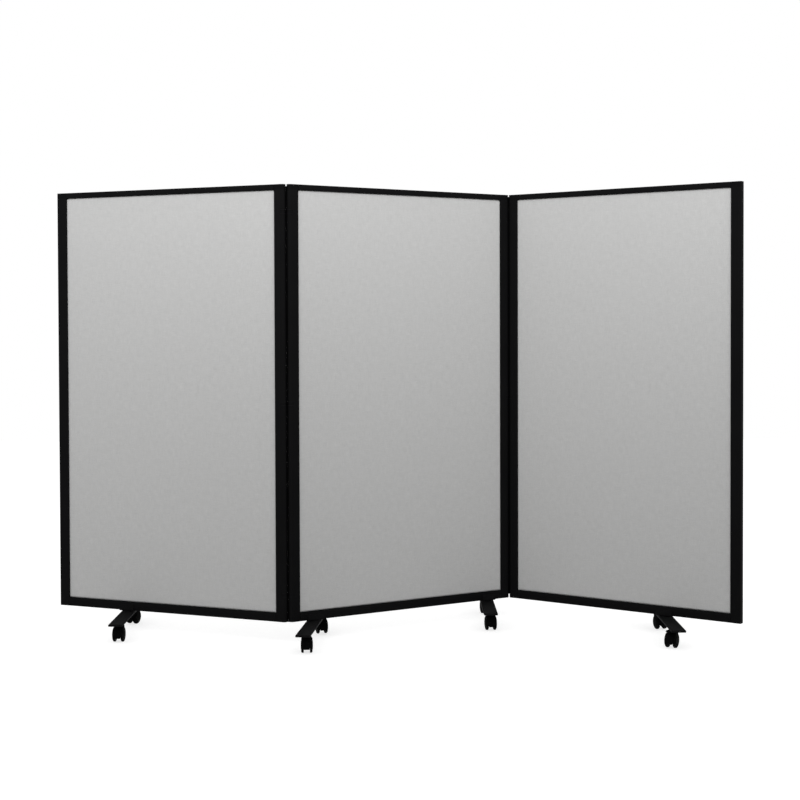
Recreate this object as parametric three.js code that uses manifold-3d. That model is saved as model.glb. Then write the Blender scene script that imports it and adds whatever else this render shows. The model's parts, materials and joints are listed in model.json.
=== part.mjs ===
// A rolling partition: three framed fabric panels on two 360-degree hinges and four caster feet.
// Millimetres and degrees. +Z is up, the floor is z = 0 and the front faces -Y.
// The origin is on the floor, at the centre of the partition's bounding box.

import * as THREE from 'three';
import { mergeVertices } from 'three/addons/utils/BufferGeometryUtils.js';
import Module from 'manifold-3d';

const wasm = await Module();
wasm.setup();

// ---------- Driving dimensions ----------

// Panel frame
const PANEL_WIDTH = 890; // over both stiles
const WINDOW_HEIGHT = 1400; // fabric that shows between the rails
const FRAME_DEPTH = 22; // front face to back face
const STILE_FACE = 37; // width of a stile seen from the front
const TOP_RAIL_FACE = 19;
const BOTTOM_RAIL_FACE = 30;
const FRAME_WALL = 2; // wall of the hollow tubes
const FREE_EDGE_RADIUS = 3; // rounding of a stile's outer edges at a free end
const GROOVE_DEPTH = 8; // groove that holds the covered board
const GROOVE_FLOOR_GAP = 1; // room left between the covered board and the groove's floor
const BOARD_THICKNESS = 4.2;
const COVER_THICKNESS = 0.6;
const FIT = 0.3; // clearance between pieces that meet

// Hinges
const HINGE_GAP = 3.5; // between the two half-round stile noses
const FILLER_THICKNESS = 2.5; // strip that closes the gap between the noses
const FILLER_DEPTH = 16;
const FILLER_TOP_DROP = 7; // how far the strip stops below the stile's top
const FILLER_BOTTOM_RISE = 14; // and above the stile's bottom
const KNUCKLE_COUNT = 3;
const KNUCKLE_HEIGHT = 12;
const KNUCKLE_END_OFFSET = 90; // outer knuckles, from the stile's ends
const KNUCKLE_SETBACK = 0.5; // how far a knuckle lies inside the nose's surface
const KNUCKLE_WEB = 6; // bridge from a knuckle to the strip
const KNUCKLE_CLEARANCE = 1; // around a knuckle, in its slot
const HINGE_PIN_DIAMETER = 6;
const HINGE_PIN_CLEARANCE = 0.4; // on the radius

// Stance in plan
const CENTRE_YAW = 31.5; // right end of the centre panel turned back
const LEFT_FOLD = 54.2; // bend of the left hinge, towards the front
const RIGHT_FOLD = 67; // bend of the right hinge, towards the back

// Foot crossbar
const CROSSBAR_LENGTH = 508;
const CROSSBAR_WIDTH = 48;
const CROSSBAR_THICKNESS = 7;
const CROSSBAR_CORNER_RADIUS = 6;
const CASTER_INSET = 95; // stem, from the end of the crossbar
const OUTER_FOOT_INSET = 274; // foot of a side panel, from the free end
const INNER_FOOT_INSET = 93; // feet of the centre panel, from its two edges

// Saddle that carries a panel on its crossbar
const SADDLE_WIDTH = 56;
const SADDLE_PLATE = 2;
const SADDLE_LIP_HEIGHT = 20; // up the rail's two faces
const SADDLE_LIP_CORNER = 5;
const SADDLE_BOSS_DIAMETER = 30;
const SADDLE_BOSS_HEIGHT = 1.5;
const SWIVEL_BOLT_DIAMETER = 10;
const SWIVEL_BOLT_CLEARANCE = 0.4; // on the radius
const SWIVEL_NUT_WIDTH = 17; // across the flats
const SWIVEL_NUT_HEIGHT = 6;

// Caster
const CASTER_HEIGHT = 63.5; // floor to the top of the neck
const WHEEL_DIAMETER = 50;
const WHEEL_WIDTH = 10;
const WHEEL_TREAD = 6.5; // cylindrical part of the width
const WHEEL_SHOULDER_DROP = 4; // how far the domed side has come in from the tread at its shoulder
const WHEEL_SHOULDER_BULGE = 2.1; // and how far it stands out there
const WHEEL_HUB_FACE_DIAMETER = 25; // flat middle of the domed side
const WHEEL_SEPARATION = 19.6; // between the wheels' inner faces
const WHEEL_SEGMENTS = 16;
const CASTER_TRAIL = 20; // stem axis to axle
const AXLE_DIAMETER = 6;
const AXLE_CLEARANCE = 0.3; // on the radius
const AXLE_END_COVER = 2.5; // wheel material outside the axle's end
const HOOD_WIDTH = 18.8; // between the wheels
const FENDER_WIDTH = 31;
const FENDER_THICKNESS = 2.3;
const FENDER_CLEARANCE = 1; // from the tread to the fender
const HOOD_REAR_ANGLE = -24; // degrees round the axle from straight behind, over the top
const HOOD_FRONT_ANGLE = 144;
const FENDER_REAR_ANGLE = -12;
const FENDER_FRONT_ANGLE = 120;
const HUB_BOSS_DIAMETER = 16;
const NECK_DIAMETER = 24;
const STEM_DIAMETER = 10;
const STEM_CLEARANCE = 0.4; // on the radius
const STEM_ENGAGEMENT = 5.5; // length of stem inside the crossbar
const STEM_END_GAP = 0.5;

// Brake pedal
const PEDAL_PIVOT_BACK = 16; // pivot, behind the stem axis
const PEDAL_PIVOT_DROP = 6; // pivot, below the top of the neck
const PEDAL_PIN_DIAMETER = 2.4;
const PEDAL_PIN_CLEARANCE = 0.3; // on the radius
const PEDAL_BARREL_DIAMETER = 5.6;
const PEDAL_ROOT_WIDTH = 14;
const PEDAL_TREAD_WIDTH = 22;
const PEDAL_THICKNESS = 3;
const PEDAL_LENGTH = 36; // from the pivot
const PEDAL_TREAD_LENGTH = 26;
const CHEEK_THICKNESS = 3.5;
const CHEEK_CLEARANCE = 0.5; // beside the pedal's barrel
const CHEEK_REACH = 5; // beyond the pivot

// Headings at rest: a foot's turn is counted from square to its panel, a caster's from the foot
const FEET = [
  { name: 'left', panel: 'left', inset: OUTER_FOOT_INSET, turn: 22.7, front: 177, rear: 158 },
  { name: 'centre_left', panel: 'centre', inset: INNER_FOOT_INSET, turn: -36.5, front: 188, rear: 200 },
  { name: 'centre_right', panel: 'centre', inset: -INNER_FOOT_INSET, turn: -31.5, front: 188, rear: 190 },
  { name: 'right', panel: 'right', inset: -OUTER_FOOT_INSET, turn: 35.5, front: 150, rear: 195 },
];

// Smoothness of round shapes
const NOSE_SEGMENTS = 8; // on the half circle
const KNUCKLE_SEGMENTS = 12;
const PIN_SEGMENTS = 10;
const BAR_CORNER_SEGMENTS = 4;
const CASTER_SEGMENTS = 12;
const HOOD_STEP = 12; // degrees
const WELL_SEGMENTS = 20;
const SMALL_SEGMENTS = 8;
const HEX_SIDES = 6;
const MERGE_DISTANCE = 1e-5; // vertices this near each other are one

// ---------- Sizes that follow ----------

const NOSE_RADIUS = FRAME_DEPTH / 2;
const LINK_LENGTH = FRAME_DEPTH + HINGE_GAP; // pivot to pivot
const PIVOT_IN_STILE = STILE_FACE - NOSE_RADIUS;
const PIN_BORE_RADIUS = HINGE_PIN_DIAMETER / 2 + HINGE_PIN_CLEARANCE;
const KNUCKLE_RADIUS = NOSE_RADIUS - KNUCKLE_SETBACK;

const CASTER_OFFSET = CROSSBAR_LENGTH / 2 - CASTER_INSET; // stem, from the middle of the crossbar
const CROSSBAR_BOTTOM = CASTER_HEIGHT + FIT;
const CROSSBAR_TOP = CROSSBAR_BOTTOM + CROSSBAR_THICKNESS;
const SADDLE_BOSS_BOTTOM = CROSSBAR_TOP + FIT;
const SADDLE_BOTTOM = SADDLE_BOSS_BOTTOM + SADDLE_BOSS_HEIGHT;
const FRAME_BOTTOM = SADDLE_BOTTOM + SADDLE_PLATE + FIT;
const WINDOW_BOTTOM = FRAME_BOTTOM + BOTTOM_RAIL_FACE;
const WINDOW_TOP = WINDOW_BOTTOM + WINDOW_HEIGHT;
const FRAME_TOP = WINDOW_TOP + TOP_RAIL_FACE;
const FRAME_HEIGHT = FRAME_TOP - FRAME_BOTTOM;

const COVERED_BOARD = BOARD_THICKNESS + 2 * (FIT + COVER_THICKNESS);
const GROOVE_WIDTH = COVERED_BOARD + 2 * FIT;
const COVER_INSERT = GROOVE_DEPTH - GROOVE_FLOOR_GAP; // how far the cover enters the groove
const RAIL_LENGTH = PANEL_WIDTH - 2 * (STILE_FACE + FIT);

const WHEEL_RADIUS = WHEEL_DIAMETER / 2;
const WELL_RADIUS = WHEEL_RADIUS + FENDER_CLEARANCE;
const HOOD_RADIUS = WELL_RADIUS + FENDER_THICKNESS;
const WHEEL_INNER_FACE = WHEEL_SEPARATION / 2;
const WHEEL_OUTER_FACE = WHEEL_INNER_FACE + WHEEL_WIDTH;

// ---------- Materials ----------

const finish = (color, roughness, metalness) => (
  new THREE.MeshStandardMaterial({ color, roughness, metalness })
);
const FRAME_BLACK = [0x1c1c1d, 0.42, 0.5];
const FABRIC_GREY = [0xc3c3c1, 0.95, 0];
const BOARD_BROWN = [0x8a6f52, 0.9, 0];
const HINGE_BLACK = [0x121213, 0.6, 0];
const STEEL = [0x8c8f93, 0.35, 0.9];
const FOOT_BLACK = [0x262628, 0.38, 0.4];
const HOOD_BLACK = [0x18181a, 0.5, 0];
const WHEEL_BLACK = [0x141415, 0.6, 0];

// ---------- Solid helpers ----------

// Turns a shape drawn on the XY plane so that its x lies along Y, its y along Z and its depth along X.
const TO_SIDE_VIEW = new THREE.Matrix4().makeBasis(
  new THREE.Vector3(0, 1, 0),
  new THREE.Vector3(0, 0, 1),
  new THREE.Vector3(1, 0, 0),
);

const HALF_TURN = 180;
const radians = (degrees) => THREE.MathUtils.degToRad(degrees);

function toSolid(geometry) {
  const bare = geometry.clone();
  bare.deleteAttribute('normal');
  bare.deleteAttribute('uv');
  const merged = mergeVertices(bare, MERGE_DISTANCE);
  return new wasm.Manifold(new wasm.Mesh({
    numProp: 3,
    vertProperties: Float32Array.from(merged.attributes.position.array),
    triVerts: Uint32Array.from(merged.index.array),
  }));
}

function toGeometry(solid) {
  const { numProp, vertProperties, triVerts } = solid.getMesh();
  const geometry = new THREE.BufferGeometry();
  const positions = new THREE.InterleavedBuffer(vertProperties, numProp);
  geometry.setAttribute('position', new THREE.InterleavedBufferAttribute(positions, 3, 0));
  geometry.setIndex(new THREE.BufferAttribute(triVerts, 1));
  return geometry;
}

const join = (...geometries) => geometries.map(toSolid).reduce((whole, piece) => whole.add(piece));
const cut = (solid, ...tools) => tools.map(toSolid).reduce((rest, tool) => rest.subtract(tool), solid);

// A shape's prism, standing on z = base.
function prism(shape, base, height, curveSegments = BAR_CORNER_SEGMENTS) {
  return new THREE.ExtrudeGeometry(shape, { depth: height, bevelEnabled: false, curveSegments })
    .translate(0, 0, base);
}

// A shape in the YZ plane, extruded to both sides of x = 0.
function sidePrism(shape, width) {
  return prism(shape, -width / 2, width).applyMatrix4(TO_SIDE_VIEW);
}

function block(x0, x1, y0, y1, z0, z1) {
  return new THREE.BoxGeometry(x1 - x0, y1 - y0, z1 - z0)
    .translate((x0 + x1) / 2, (y0 + y1) / 2, (z0 + z1) / 2);
}

// An upright round bar.
function post(x, y, z0, z1, radius, segments = CASTER_SEGMENTS) {
  return new THREE.CylinderGeometry(radius, radius, z1 - z0, segments)
    .rotateX(Math.PI / 2)
    .translate(x, y, (z0 + z1) / 2);
}

// A round bar across the caster, along X.
function crossRod(y, z, length, radius, segments = SMALL_SEGMENTS) {
  return new THREE.CylinderGeometry(radius, radius, length, segments)
    .rotateZ(Math.PI / 2)
    .translate(0, y, z);
}

function circlePath(x, y, radius, segments = PIN_SEGMENTS) {
  const path = new THREE.Path();
  path.setFromPoints(Array.from({ length: segments }, (_, step) => {
    const angle = (2 * Math.PI * step) / segments;
    return new THREE.Vector2(x + radius * Math.cos(angle), y + radius * Math.sin(angle));
  }));
  return path;
}

function rectanglePath(x0, x1, y0, y1) {
  const corners = [[x0, y0], [x1, y0], [x1, y1], [x0, y1]];
  return new THREE.Path(corners.map(([x, y]) => new THREE.Vector2(x, y)));
}

// A rectangle with rounded corners, centred on the origin.
function roundedRectangle(width, height, radius) {
  const x = width / 2;
  const y = height / 2;
  const shape = new THREE.Shape();
  shape.moveTo(radius - x, -y);
  shape.absarc(x - radius, radius - y, radius, -Math.PI / 2, 0);
  shape.absarc(x - radius, y - radius, radius, 0, Math.PI / 2);
  shape.absarc(radius - x, y - radius, radius, Math.PI / 2, Math.PI);
  shape.absarc(radius - x, radius - y, radius, Math.PI, 1.5 * Math.PI);
  return shape;
}

function piece(name, geometry, [color, roughness, metalness]) {
  const mesh = new THREE.Mesh(geometry, finish(color, roughness, metalness));
  mesh.name = name;
  return mesh;
}

function turned(object, degrees) {
  object.rotation.z = radians(degrees);
  return object;
}

function placed(object, x, y = 0, z = 0) {
  object.position.set(x, y, z);
  return object;
}

// ---------- Frame ----------

// Stile sections run from the window edge (x = 0) outwards and share the groove for the board.
function addGroove(shape) {
  shape.lineTo(0, GROOVE_WIDTH / 2);
  shape.lineTo(GROOVE_DEPTH, GROOVE_WIDTH / 2);
  shape.lineTo(GROOVE_DEPTH, -GROOVE_WIDTH / 2);
  shape.lineTo(0, -GROOVE_WIDTH / 2);
  shape.closePath();
  return shape;
}

function hingeStileSection() {
  const shape = new THREE.Shape();
  shape.moveTo(0, -NOSE_RADIUS);
  shape.lineTo(PIVOT_IN_STILE, -NOSE_RADIUS);
  shape.absarc(PIVOT_IN_STILE, 0, NOSE_RADIUS, -Math.PI / 2, Math.PI / 2);
  shape.lineTo(0, NOSE_RADIUS);
  addGroove(shape);
  shape.holes.push(circlePath(PIVOT_IN_STILE, 0, PIN_BORE_RADIUS));
  return shape;
}

function freeStileSection() {
  const half = FRAME_DEPTH / 2;
  const corner = STILE_FACE - FREE_EDGE_RADIUS;
  const shape = new THREE.Shape();
  shape.moveTo(0, -half);
  shape.lineTo(corner, -half);
  shape.absarc(corner, FREE_EDGE_RADIUS - half, FREE_EDGE_RADIUS, -Math.PI / 2, 0);
  shape.absarc(corner, half - FREE_EDGE_RADIUS, FREE_EDGE_RADIUS, 0, Math.PI / 2);
  shape.lineTo(0, half);
  addGroove(shape);
  const inner = half - FRAME_WALL;
  shape.holes.push(rectanglePath(GROOVE_DEPTH + FRAME_WALL, STILE_FACE - FRAME_WALL, -inner, inner));
  return shape;
}

function knuckleHeights() {
  const first = FRAME_BOTTOM + KNUCKLE_END_OFFSET;
  const last = FRAME_TOP - KNUCKLE_END_OFFSET;
  const step = (last - first) / (KNUCKLE_COUNT - 1);
  return Array.from({ length: KNUCKLE_COUNT }, (_, index) => first + index * step);
}

function hingeStileGeometry() {
  const bar = toSolid(prism(hingeStileSection(), FRAME_BOTTOM, FRAME_HEIGHT, NOSE_SEGMENTS));
  const half = KNUCKLE_HEIGHT / 2 + KNUCKLE_CLEARANCE;
  const radius = NOSE_RADIUS + KNUCKLE_CLEARANCE;
  const slots = knuckleHeights().map((z) => (
    post(PIVOT_IN_STILE, 0, z - half, z + half, radius, KNUCKLE_SEGMENTS)
  ));
  return toGeometry(cut(bar, ...slots));
}

function freeStileGeometry() {
  return prism(freeStileSection(), FRAME_BOTTOM, FRAME_HEIGHT);
}

// A rail's section, drawn with the window edge up; a top rail is the same thing turned over.
function railGeometry(face, windowEdge, isTop) {
  const half = FRAME_DEPTH / 2;
  const groove = GROOVE_WIDTH / 2;
  const inner = half - FRAME_WALL;
  const shape = new THREE.Shape();
  shape.setFromPoints([
    [-half, 0], [-half, -face], [half, -face], [half, 0],
    [groove, 0], [groove, -GROOVE_DEPTH], [-groove, -GROOVE_DEPTH], [-groove, 0],
  ].map(([y, z]) => new THREE.Vector2(y, z)));
  const cavityTop = -GROOVE_DEPTH - FRAME_WALL;
  shape.holes.push(rectanglePath(-inner, inner, FRAME_WALL - face, cavityTop));
  const rail = sidePrism(shape, RAIL_LENGTH);
  if (isTop) rail.rotateX(Math.PI);
  return rail.translate(PANEL_WIDTH / 2, 0, windowEdge);
}

// ---------- Infill ----------

function boardSpan(margin) {
  const reach = COVER_INSERT - margin;
  return {
    x0: STILE_FACE - reach,
    x1: PANEL_WIDTH - STILE_FACE + reach,
    z0: WINDOW_BOTTOM - COVER_INSERT,
    z1: WINDOW_TOP + COVER_INSERT,
  };
}

function boardGeometry() {
  const { x0, x1, z0, z1 } = boardSpan(COVER_THICKNESS + FIT);
  return block(x0, x1, -BOARD_THICKNESS / 2, BOARD_THICKNESS / 2, z0, z1);
}

// The cover goes round the board like a sleeve, open along the top and bottom edges.
function coverGeometry() {
  const outer = boardSpan(0);
  const inner = boardSpan(COVER_THICKNESS);
  const outerHalf = COVERED_BOARD / 2;
  const innerHalf = outerHalf - COVER_THICKNESS;
  const shape = new THREE.Shape(rectanglePath(outer.x0, outer.x1, -outerHalf, outerHalf).getPoints());
  shape.holes.push(rectanglePath(inner.x0, inner.x1, -innerHalf, innerHalf));
  return prism(shape, outer.z0, outer.z1 - outer.z0);
}

// ---------- Hinge ----------

// One link: the filler strip with a figure-of-eight knuckle at every slot, centred between the pins.
function hingeLinkGeometry() {
  const strip = block(
    -FILLER_THICKNESS / 2, FILLER_THICKNESS / 2,
    -FILLER_DEPTH / 2, FILLER_DEPTH / 2,
    FRAME_BOTTOM + FILLER_BOTTOM_RISE, FRAME_TOP - FILLER_TOP_DROP,
  );
  const half = KNUCKLE_HEIGHT / 2;
  const arm = LINK_LENGTH / 2;
  const knuckles = knuckleHeights().flatMap((z) => [
    post(-arm, 0, z - half, z + half, KNUCKLE_RADIUS, KNUCKLE_SEGMENTS),
    post(arm, 0, z - half, z + half, KNUCKLE_RADIUS, KNUCKLE_SEGMENTS),
    block(-arm, arm, -KNUCKLE_WEB / 2, KNUCKLE_WEB / 2, z - half, z + half),
  ]);
  const bores = [-arm, arm].map((x) => post(x, 0, FRAME_BOTTOM, FRAME_TOP, PIN_BORE_RADIUS, PIN_SEGMENTS));
  return toGeometry(cut(join(strip, ...knuckles), ...bores));
}

const hingePinGeometry = () => (
  post(0, 0, FRAME_BOTTOM + FIT, FRAME_TOP - FILLER_TOP_DROP, HINGE_PIN_DIAMETER / 2, PIN_SEGMENTS)
);

// ---------- Foot ----------

function saddleLip(side) {
  const half = SADDLE_WIDTH / 2;
  const corner = SADDLE_LIP_CORNER;
  const top = FRAME_BOTTOM + SADDLE_LIP_HEIGHT;
  const shape = new THREE.Shape();
  shape.moveTo(-half, SADDLE_BOTTOM);
  shape.lineTo(half, SADDLE_BOTTOM);
  shape.absarc(half - corner, top - corner, corner, 0, Math.PI / 2);
  shape.absarc(corner - half, top - corner, corner, Math.PI / 2, Math.PI);
  const inside = FRAME_DEPTH / 2 + FIT;
  return prism(shape, 0, SADDLE_PLATE)
    .rotateX(Math.PI / 2)
    .translate(0, side * (inside + SADDLE_PLATE / 2) + SADDLE_PLATE / 2, 0);
}

function saddleGeometry() {
  const halfWidth = SADDLE_WIDTH / 2;
  const halfDepth = FRAME_DEPTH / 2 + FIT + SADDLE_PLATE;
  const nutTop = CROSSBAR_BOTTOM - FIT;
  const nutRadius = SWIVEL_NUT_WIDTH / 2 / Math.cos(Math.PI / HEX_SIDES);
  return toGeometry(join(
    block(-halfWidth, halfWidth, -halfDepth, halfDepth, SADDLE_BOTTOM, SADDLE_BOTTOM + SADDLE_PLATE),
    saddleLip(-1),
    saddleLip(1),
    post(0, 0, SADDLE_BOSS_BOTTOM, SADDLE_BOTTOM + FIT, SADDLE_BOSS_DIAMETER / 2),
    post(0, 0, nutTop - SWIVEL_NUT_HEIGHT / 2, SADDLE_BOTTOM + FIT, SWIVEL_BOLT_DIAMETER / 2),
    post(0, 0, nutTop - SWIVEL_NUT_HEIGHT, nutTop, nutRadius, HEX_SIDES),
  ));
}

function crossbarGeometry() {
  const outline = roundedRectangle(CROSSBAR_WIDTH, CROSSBAR_LENGTH, CROSSBAR_CORNER_RADIUS);
  outline.holes.push(circlePath(0, 0, SWIVEL_BOLT_DIAMETER / 2 + SWIVEL_BOLT_CLEARANCE));
  const bar = toSolid(prism(outline, CROSSBAR_BOTTOM, CROSSBAR_THICKNESS));
  const socketTop = CROSSBAR_BOTTOM + STEM_ENGAGEMENT + STEM_END_GAP;
  const socketRadius = STEM_DIAMETER / 2 + STEM_CLEARANCE;
  const sockets = [-1, 1].map((end) => (
    post(0, end * CASTER_OFFSET, CROSSBAR_BOTTOM - FIT, socketTop, socketRadius, PIN_SEGMENTS)
  ));
  return toGeometry(cut(bar, ...sockets));
}

// ---------- Caster ----------

function hoodPoint(angle, radius) {
  return new THREE.Vector2(
    CASTER_TRAIL + radius * Math.cos(radians(angle)),
    WHEEL_RADIUS + radius * Math.sin(radians(angle)),
  );
}

function hoodArc(from, to) {
  const steps = Math.round((to - from) / HOOD_STEP);
  return Array.from({ length: steps + 1 }, (_, step) => (
    hoodPoint(from + ((to - from) * step) / steps, HOOD_RADIUS)
  ));
}

// A wedge from the axle outwards; the wheel well is cut from it later and leaves the fender.
function fenderGeometry() {
  const outline = [hoodPoint(0, 0), ...hoodArc(FENDER_REAR_ANGLE, FENDER_FRONT_ANGLE)];
  return sidePrism(new THREE.Shape(outline), FENDER_WIDTH);
}

function hoodGeometry() {
  return sidePrism(new THREE.Shape(hoodArc(HOOD_REAR_ANGLE, HOOD_FRONT_ANGLE)), HOOD_WIDTH);
}

function cheekGeometry(side) {
  const inside = PEDAL_ROOT_WIDTH / 2 + CHEEK_CLEARANCE;
  const [x0, x1] = side > 0 ? [inside, inside + CHEEK_THICKNESS] : [-inside - CHEEK_THICKNESS, -inside];
  const bottom = WHEEL_RADIUS + WELL_RADIUS;
  return block(x0, x1, 0, PEDAL_PIVOT_BACK + CHEEK_REACH, bottom, CASTER_HEIGHT);
}

function casterBodyGeometry(hasPedal) {
  const neckBottom = WHEEL_RADIUS + WELL_RADIUS / 2;
  const shell = join(
    fenderGeometry(),
    post(0, 0, neckBottom, CASTER_HEIGHT, NECK_DIAMETER / 2),
    ...(hasPedal ? [cheekGeometry(-1), cheekGeometry(1)] : []),
  );
  const well = crossRod(CASTER_TRAIL, WHEEL_RADIUS, 2 * WHEEL_OUTER_FACE, WELL_RADIUS, WELL_SEGMENTS);
  const axleLength = 2 * (WHEEL_OUTER_FACE - AXLE_END_COVER - FIT);
  const pinLength = PEDAL_ROOT_WIDTH + 2 * CHEEK_CLEARANCE + CHEEK_THICKNESS;
  const core = join(
    hoodGeometry(),
    crossRod(CASTER_TRAIL, WHEEL_RADIUS, HOOD_WIDTH, HUB_BOSS_DIAMETER / 2, CASTER_SEGMENTS),
    crossRod(CASTER_TRAIL, WHEEL_RADIUS, axleLength, AXLE_DIAMETER / 2),
    post(0, 0, CASTER_HEIGHT - STEM_ENGAGEMENT, CROSSBAR_BOTTOM + STEM_ENGAGEMENT, STEM_DIAMETER / 2),
    ...(hasPedal ? [pedalRod(pinLength, PEDAL_PIN_DIAMETER / 2)] : []),
  );
  return toGeometry(cut(shell, well).add(core));
}

function wheelGeometry() {
  const tread = WHEEL_RADIUS / Math.cos(Math.PI / WHEEL_SEGMENTS);
  const bore = AXLE_DIAMETER / 2 + AXLE_CLEARANCE;
  const boreEnd = WHEEL_WIDTH - AXLE_END_COVER;
  const profile = [
    [0, boreEnd], [bore, boreEnd], [bore, 0], [tread, 0], [tread, WHEEL_TREAD],
    [tread - WHEEL_SHOULDER_DROP, WHEEL_TREAD + WHEEL_SHOULDER_BULGE],
    [WHEEL_HUB_FACE_DIAMETER / 2, WHEEL_WIDTH], [0, WHEEL_WIDTH],
  ];
  const points = profile.map(([radius, depth]) => new THREE.Vector2(radius, depth));
  // A flat of the tread, not an edge, meets the floor.
  return new THREE.LatheGeometry(points, WHEEL_SEGMENTS, Math.PI / WHEEL_SEGMENTS).rotateZ(-Math.PI / 2);
}

// ---------- Brake pedal ----------

const PEDAL_PIVOT_HEIGHT = CASTER_HEIGHT - PEDAL_PIVOT_DROP;
const pedalRod = (length, radius) => crossRod(PEDAL_PIVOT_BACK, PEDAL_PIVOT_HEIGHT, length, radius);

function pedalGeometry() {
  const half = PEDAL_THICKNESS / 2;
  const end = PEDAL_PIVOT_BACK + PEDAL_LENGTH;
  const treadHalf = PEDAL_TREAD_WIDTH / 2;
  const rootHalf = PEDAL_ROOT_WIDTH / 2;
  const low = PEDAL_PIVOT_HEIGHT - half;
  const high = PEDAL_PIVOT_HEIGHT + half;
  const pedal = join(
    pedalRod(PEDAL_ROOT_WIDTH, PEDAL_BARREL_DIAMETER / 2),
    block(-rootHalf, rootHalf, PEDAL_PIVOT_BACK, end, low, high),
    block(-treadHalf, treadHalf, end - PEDAL_TREAD_LENGTH, end, low, high),
  );
  const bore = pedalRod(2 * PEDAL_ROOT_WIDTH, PEDAL_PIN_DIAMETER / 2 + PEDAL_PIN_CLEARANCE);
  return toGeometry(cut(pedal, bore));
}

// ---------- Assembly ----------

function makePanel(name, leftEnd, rightEnd) {
  const panel = new THREE.Group();
  const stile = (side, kind) => {
    const geometry = kind === 'hinge' ? hingeStileGeometry() : freeStileGeometry();
    const mesh = piece(`${name}_panel_${side}_stile`, geometry, FRAME_BLACK);
    if (side === 'right') return placed(mesh, PANEL_WIDTH - STILE_FACE);
    return placed(turned(mesh, HALF_TURN), STILE_FACE);
  };
  panel.add(
    stile('left', leftEnd),
    stile('right', rightEnd),
    piece(`${name}_panel_top_rail`, railGeometry(TOP_RAIL_FACE, WINDOW_TOP, true), FRAME_BLACK),
    piece(`${name}_panel_bottom_rail`, railGeometry(BOTTOM_RAIL_FACE, WINDOW_BOTTOM, false), FRAME_BLACK),
    piece(`${name}_panel_infill_board`, boardGeometry(), BOARD_BROWN),
    piece(`${name}_panel_fabric_cover`, coverGeometry(), FABRIC_GREY),
  );
  return panel;
}

// A link hangs on the centre panel's pin, at its own origin, and reaches out to the side panel's pin.
function makeLink(name, side, fold) {
  const link = new THREE.Group();
  link.add(
    placed(piece(`${name}_hinge_link`, hingeLinkGeometry(), HINGE_BLACK), (side * LINK_LENGTH) / 2),
    piece(`${name}_hinge_inner_pin`, hingePinGeometry(), STEEL),
    placed(piece(`${name}_hinge_outer_pin`, hingePinGeometry(), STEEL), side * LINK_LENGTH),
  );
  return turned(link, -fold / 2);
}

function makeCaster(name, heading, hasPedal) {
  const caster = new THREE.Group();
  caster.add(piece(`${name}_caster_body`, casterBodyGeometry(hasPedal), HOOD_BLACK));
  for (const [side, sign] of [['left', -1], ['right', 1]]) {
    const wheel = piece(`${name}_caster_${side}_wheel`, wheelGeometry(), WHEEL_BLACK);
    if (sign < 0) wheel.rotation.z = Math.PI;
    caster.add(placed(wheel, sign * WHEEL_INNER_FACE, CASTER_TRAIL, WHEEL_RADIUS));
  }
  if (hasPedal) caster.add(piece(`${name}_caster_brake_pedal`, pedalGeometry(), HOOD_BLACK));
  return turned(caster, heading);
}

function makeFoot({ name, turn, front, rear }) {
  const foot = new THREE.Group();
  foot.add(
    piece(`${name}_foot_crossbar`, crossbarGeometry(), FOOT_BLACK),
    placed(makeCaster(`${name}_foot_front`, front, true), 0, -CASTER_OFFSET),
    placed(makeCaster(`${name}_foot_rear`, rear, false), 0, CASTER_OFFSET),
  );
  return turned(foot, turn);
}

const panels = {
  left: makePanel('left', 'free', 'hinge'),
  centre: makePanel('centre', 'hinge', 'hinge'),
  right: makePanel('right', 'hinge', 'free'),
};

for (const foot of FEET) {
  const along = foot.inset > 0 ? foot.inset : PANEL_WIDTH + foot.inset;
  panels[foot.panel].add(
    placed(piece(`${foot.name}_foot_saddle`, saddleGeometry(), FOOT_BLACK), along),
    placed(makeFoot(foot), along),
  );
}

// The left panel hangs from the outer pin of its link by its right stile, the right panel by its left.
const leftLink = placed(makeLink('left', -1, LEFT_FOLD), NOSE_RADIUS);
const leftArm = placed(turned(new THREE.Group(), -LEFT_FOLD / 2), -LINK_LENGTH);
leftArm.add(placed(panels.left, NOSE_RADIUS - PANEL_WIDTH));
leftLink.add(leftArm);

const rightLink = placed(makeLink('right', 1, RIGHT_FOLD), PANEL_WIDTH - NOSE_RADIUS);
const rightArm = placed(turned(new THREE.Group(), -RIGHT_FOLD / 2), LINK_LENGTH);
rightArm.add(placed(panels.right, -NOSE_RADIUS));
rightLink.add(rightArm);

panels.centre.add(leftLink, rightLink);
turned(panels.centre, CENTRE_YAW);

const partition = new THREE.Group();
partition.add(panels.centre);

const bounds = new THREE.Box3().setFromObject(partition, true);
placed(panels.centre, -(bounds.min.x + bounds.max.x) / 2, -(bounds.min.y + bounds.max.y) / 2);

export default partition;
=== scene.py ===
"""A rolling partition: three fabric panels in black frames, on hinges and caster feet.

Metres, +Z up, the floor at z = 0 and the front towards -Y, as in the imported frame.
"""

import json
import math

import bmesh
import bpy
from mathutils import Matrix, Vector, noise


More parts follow.
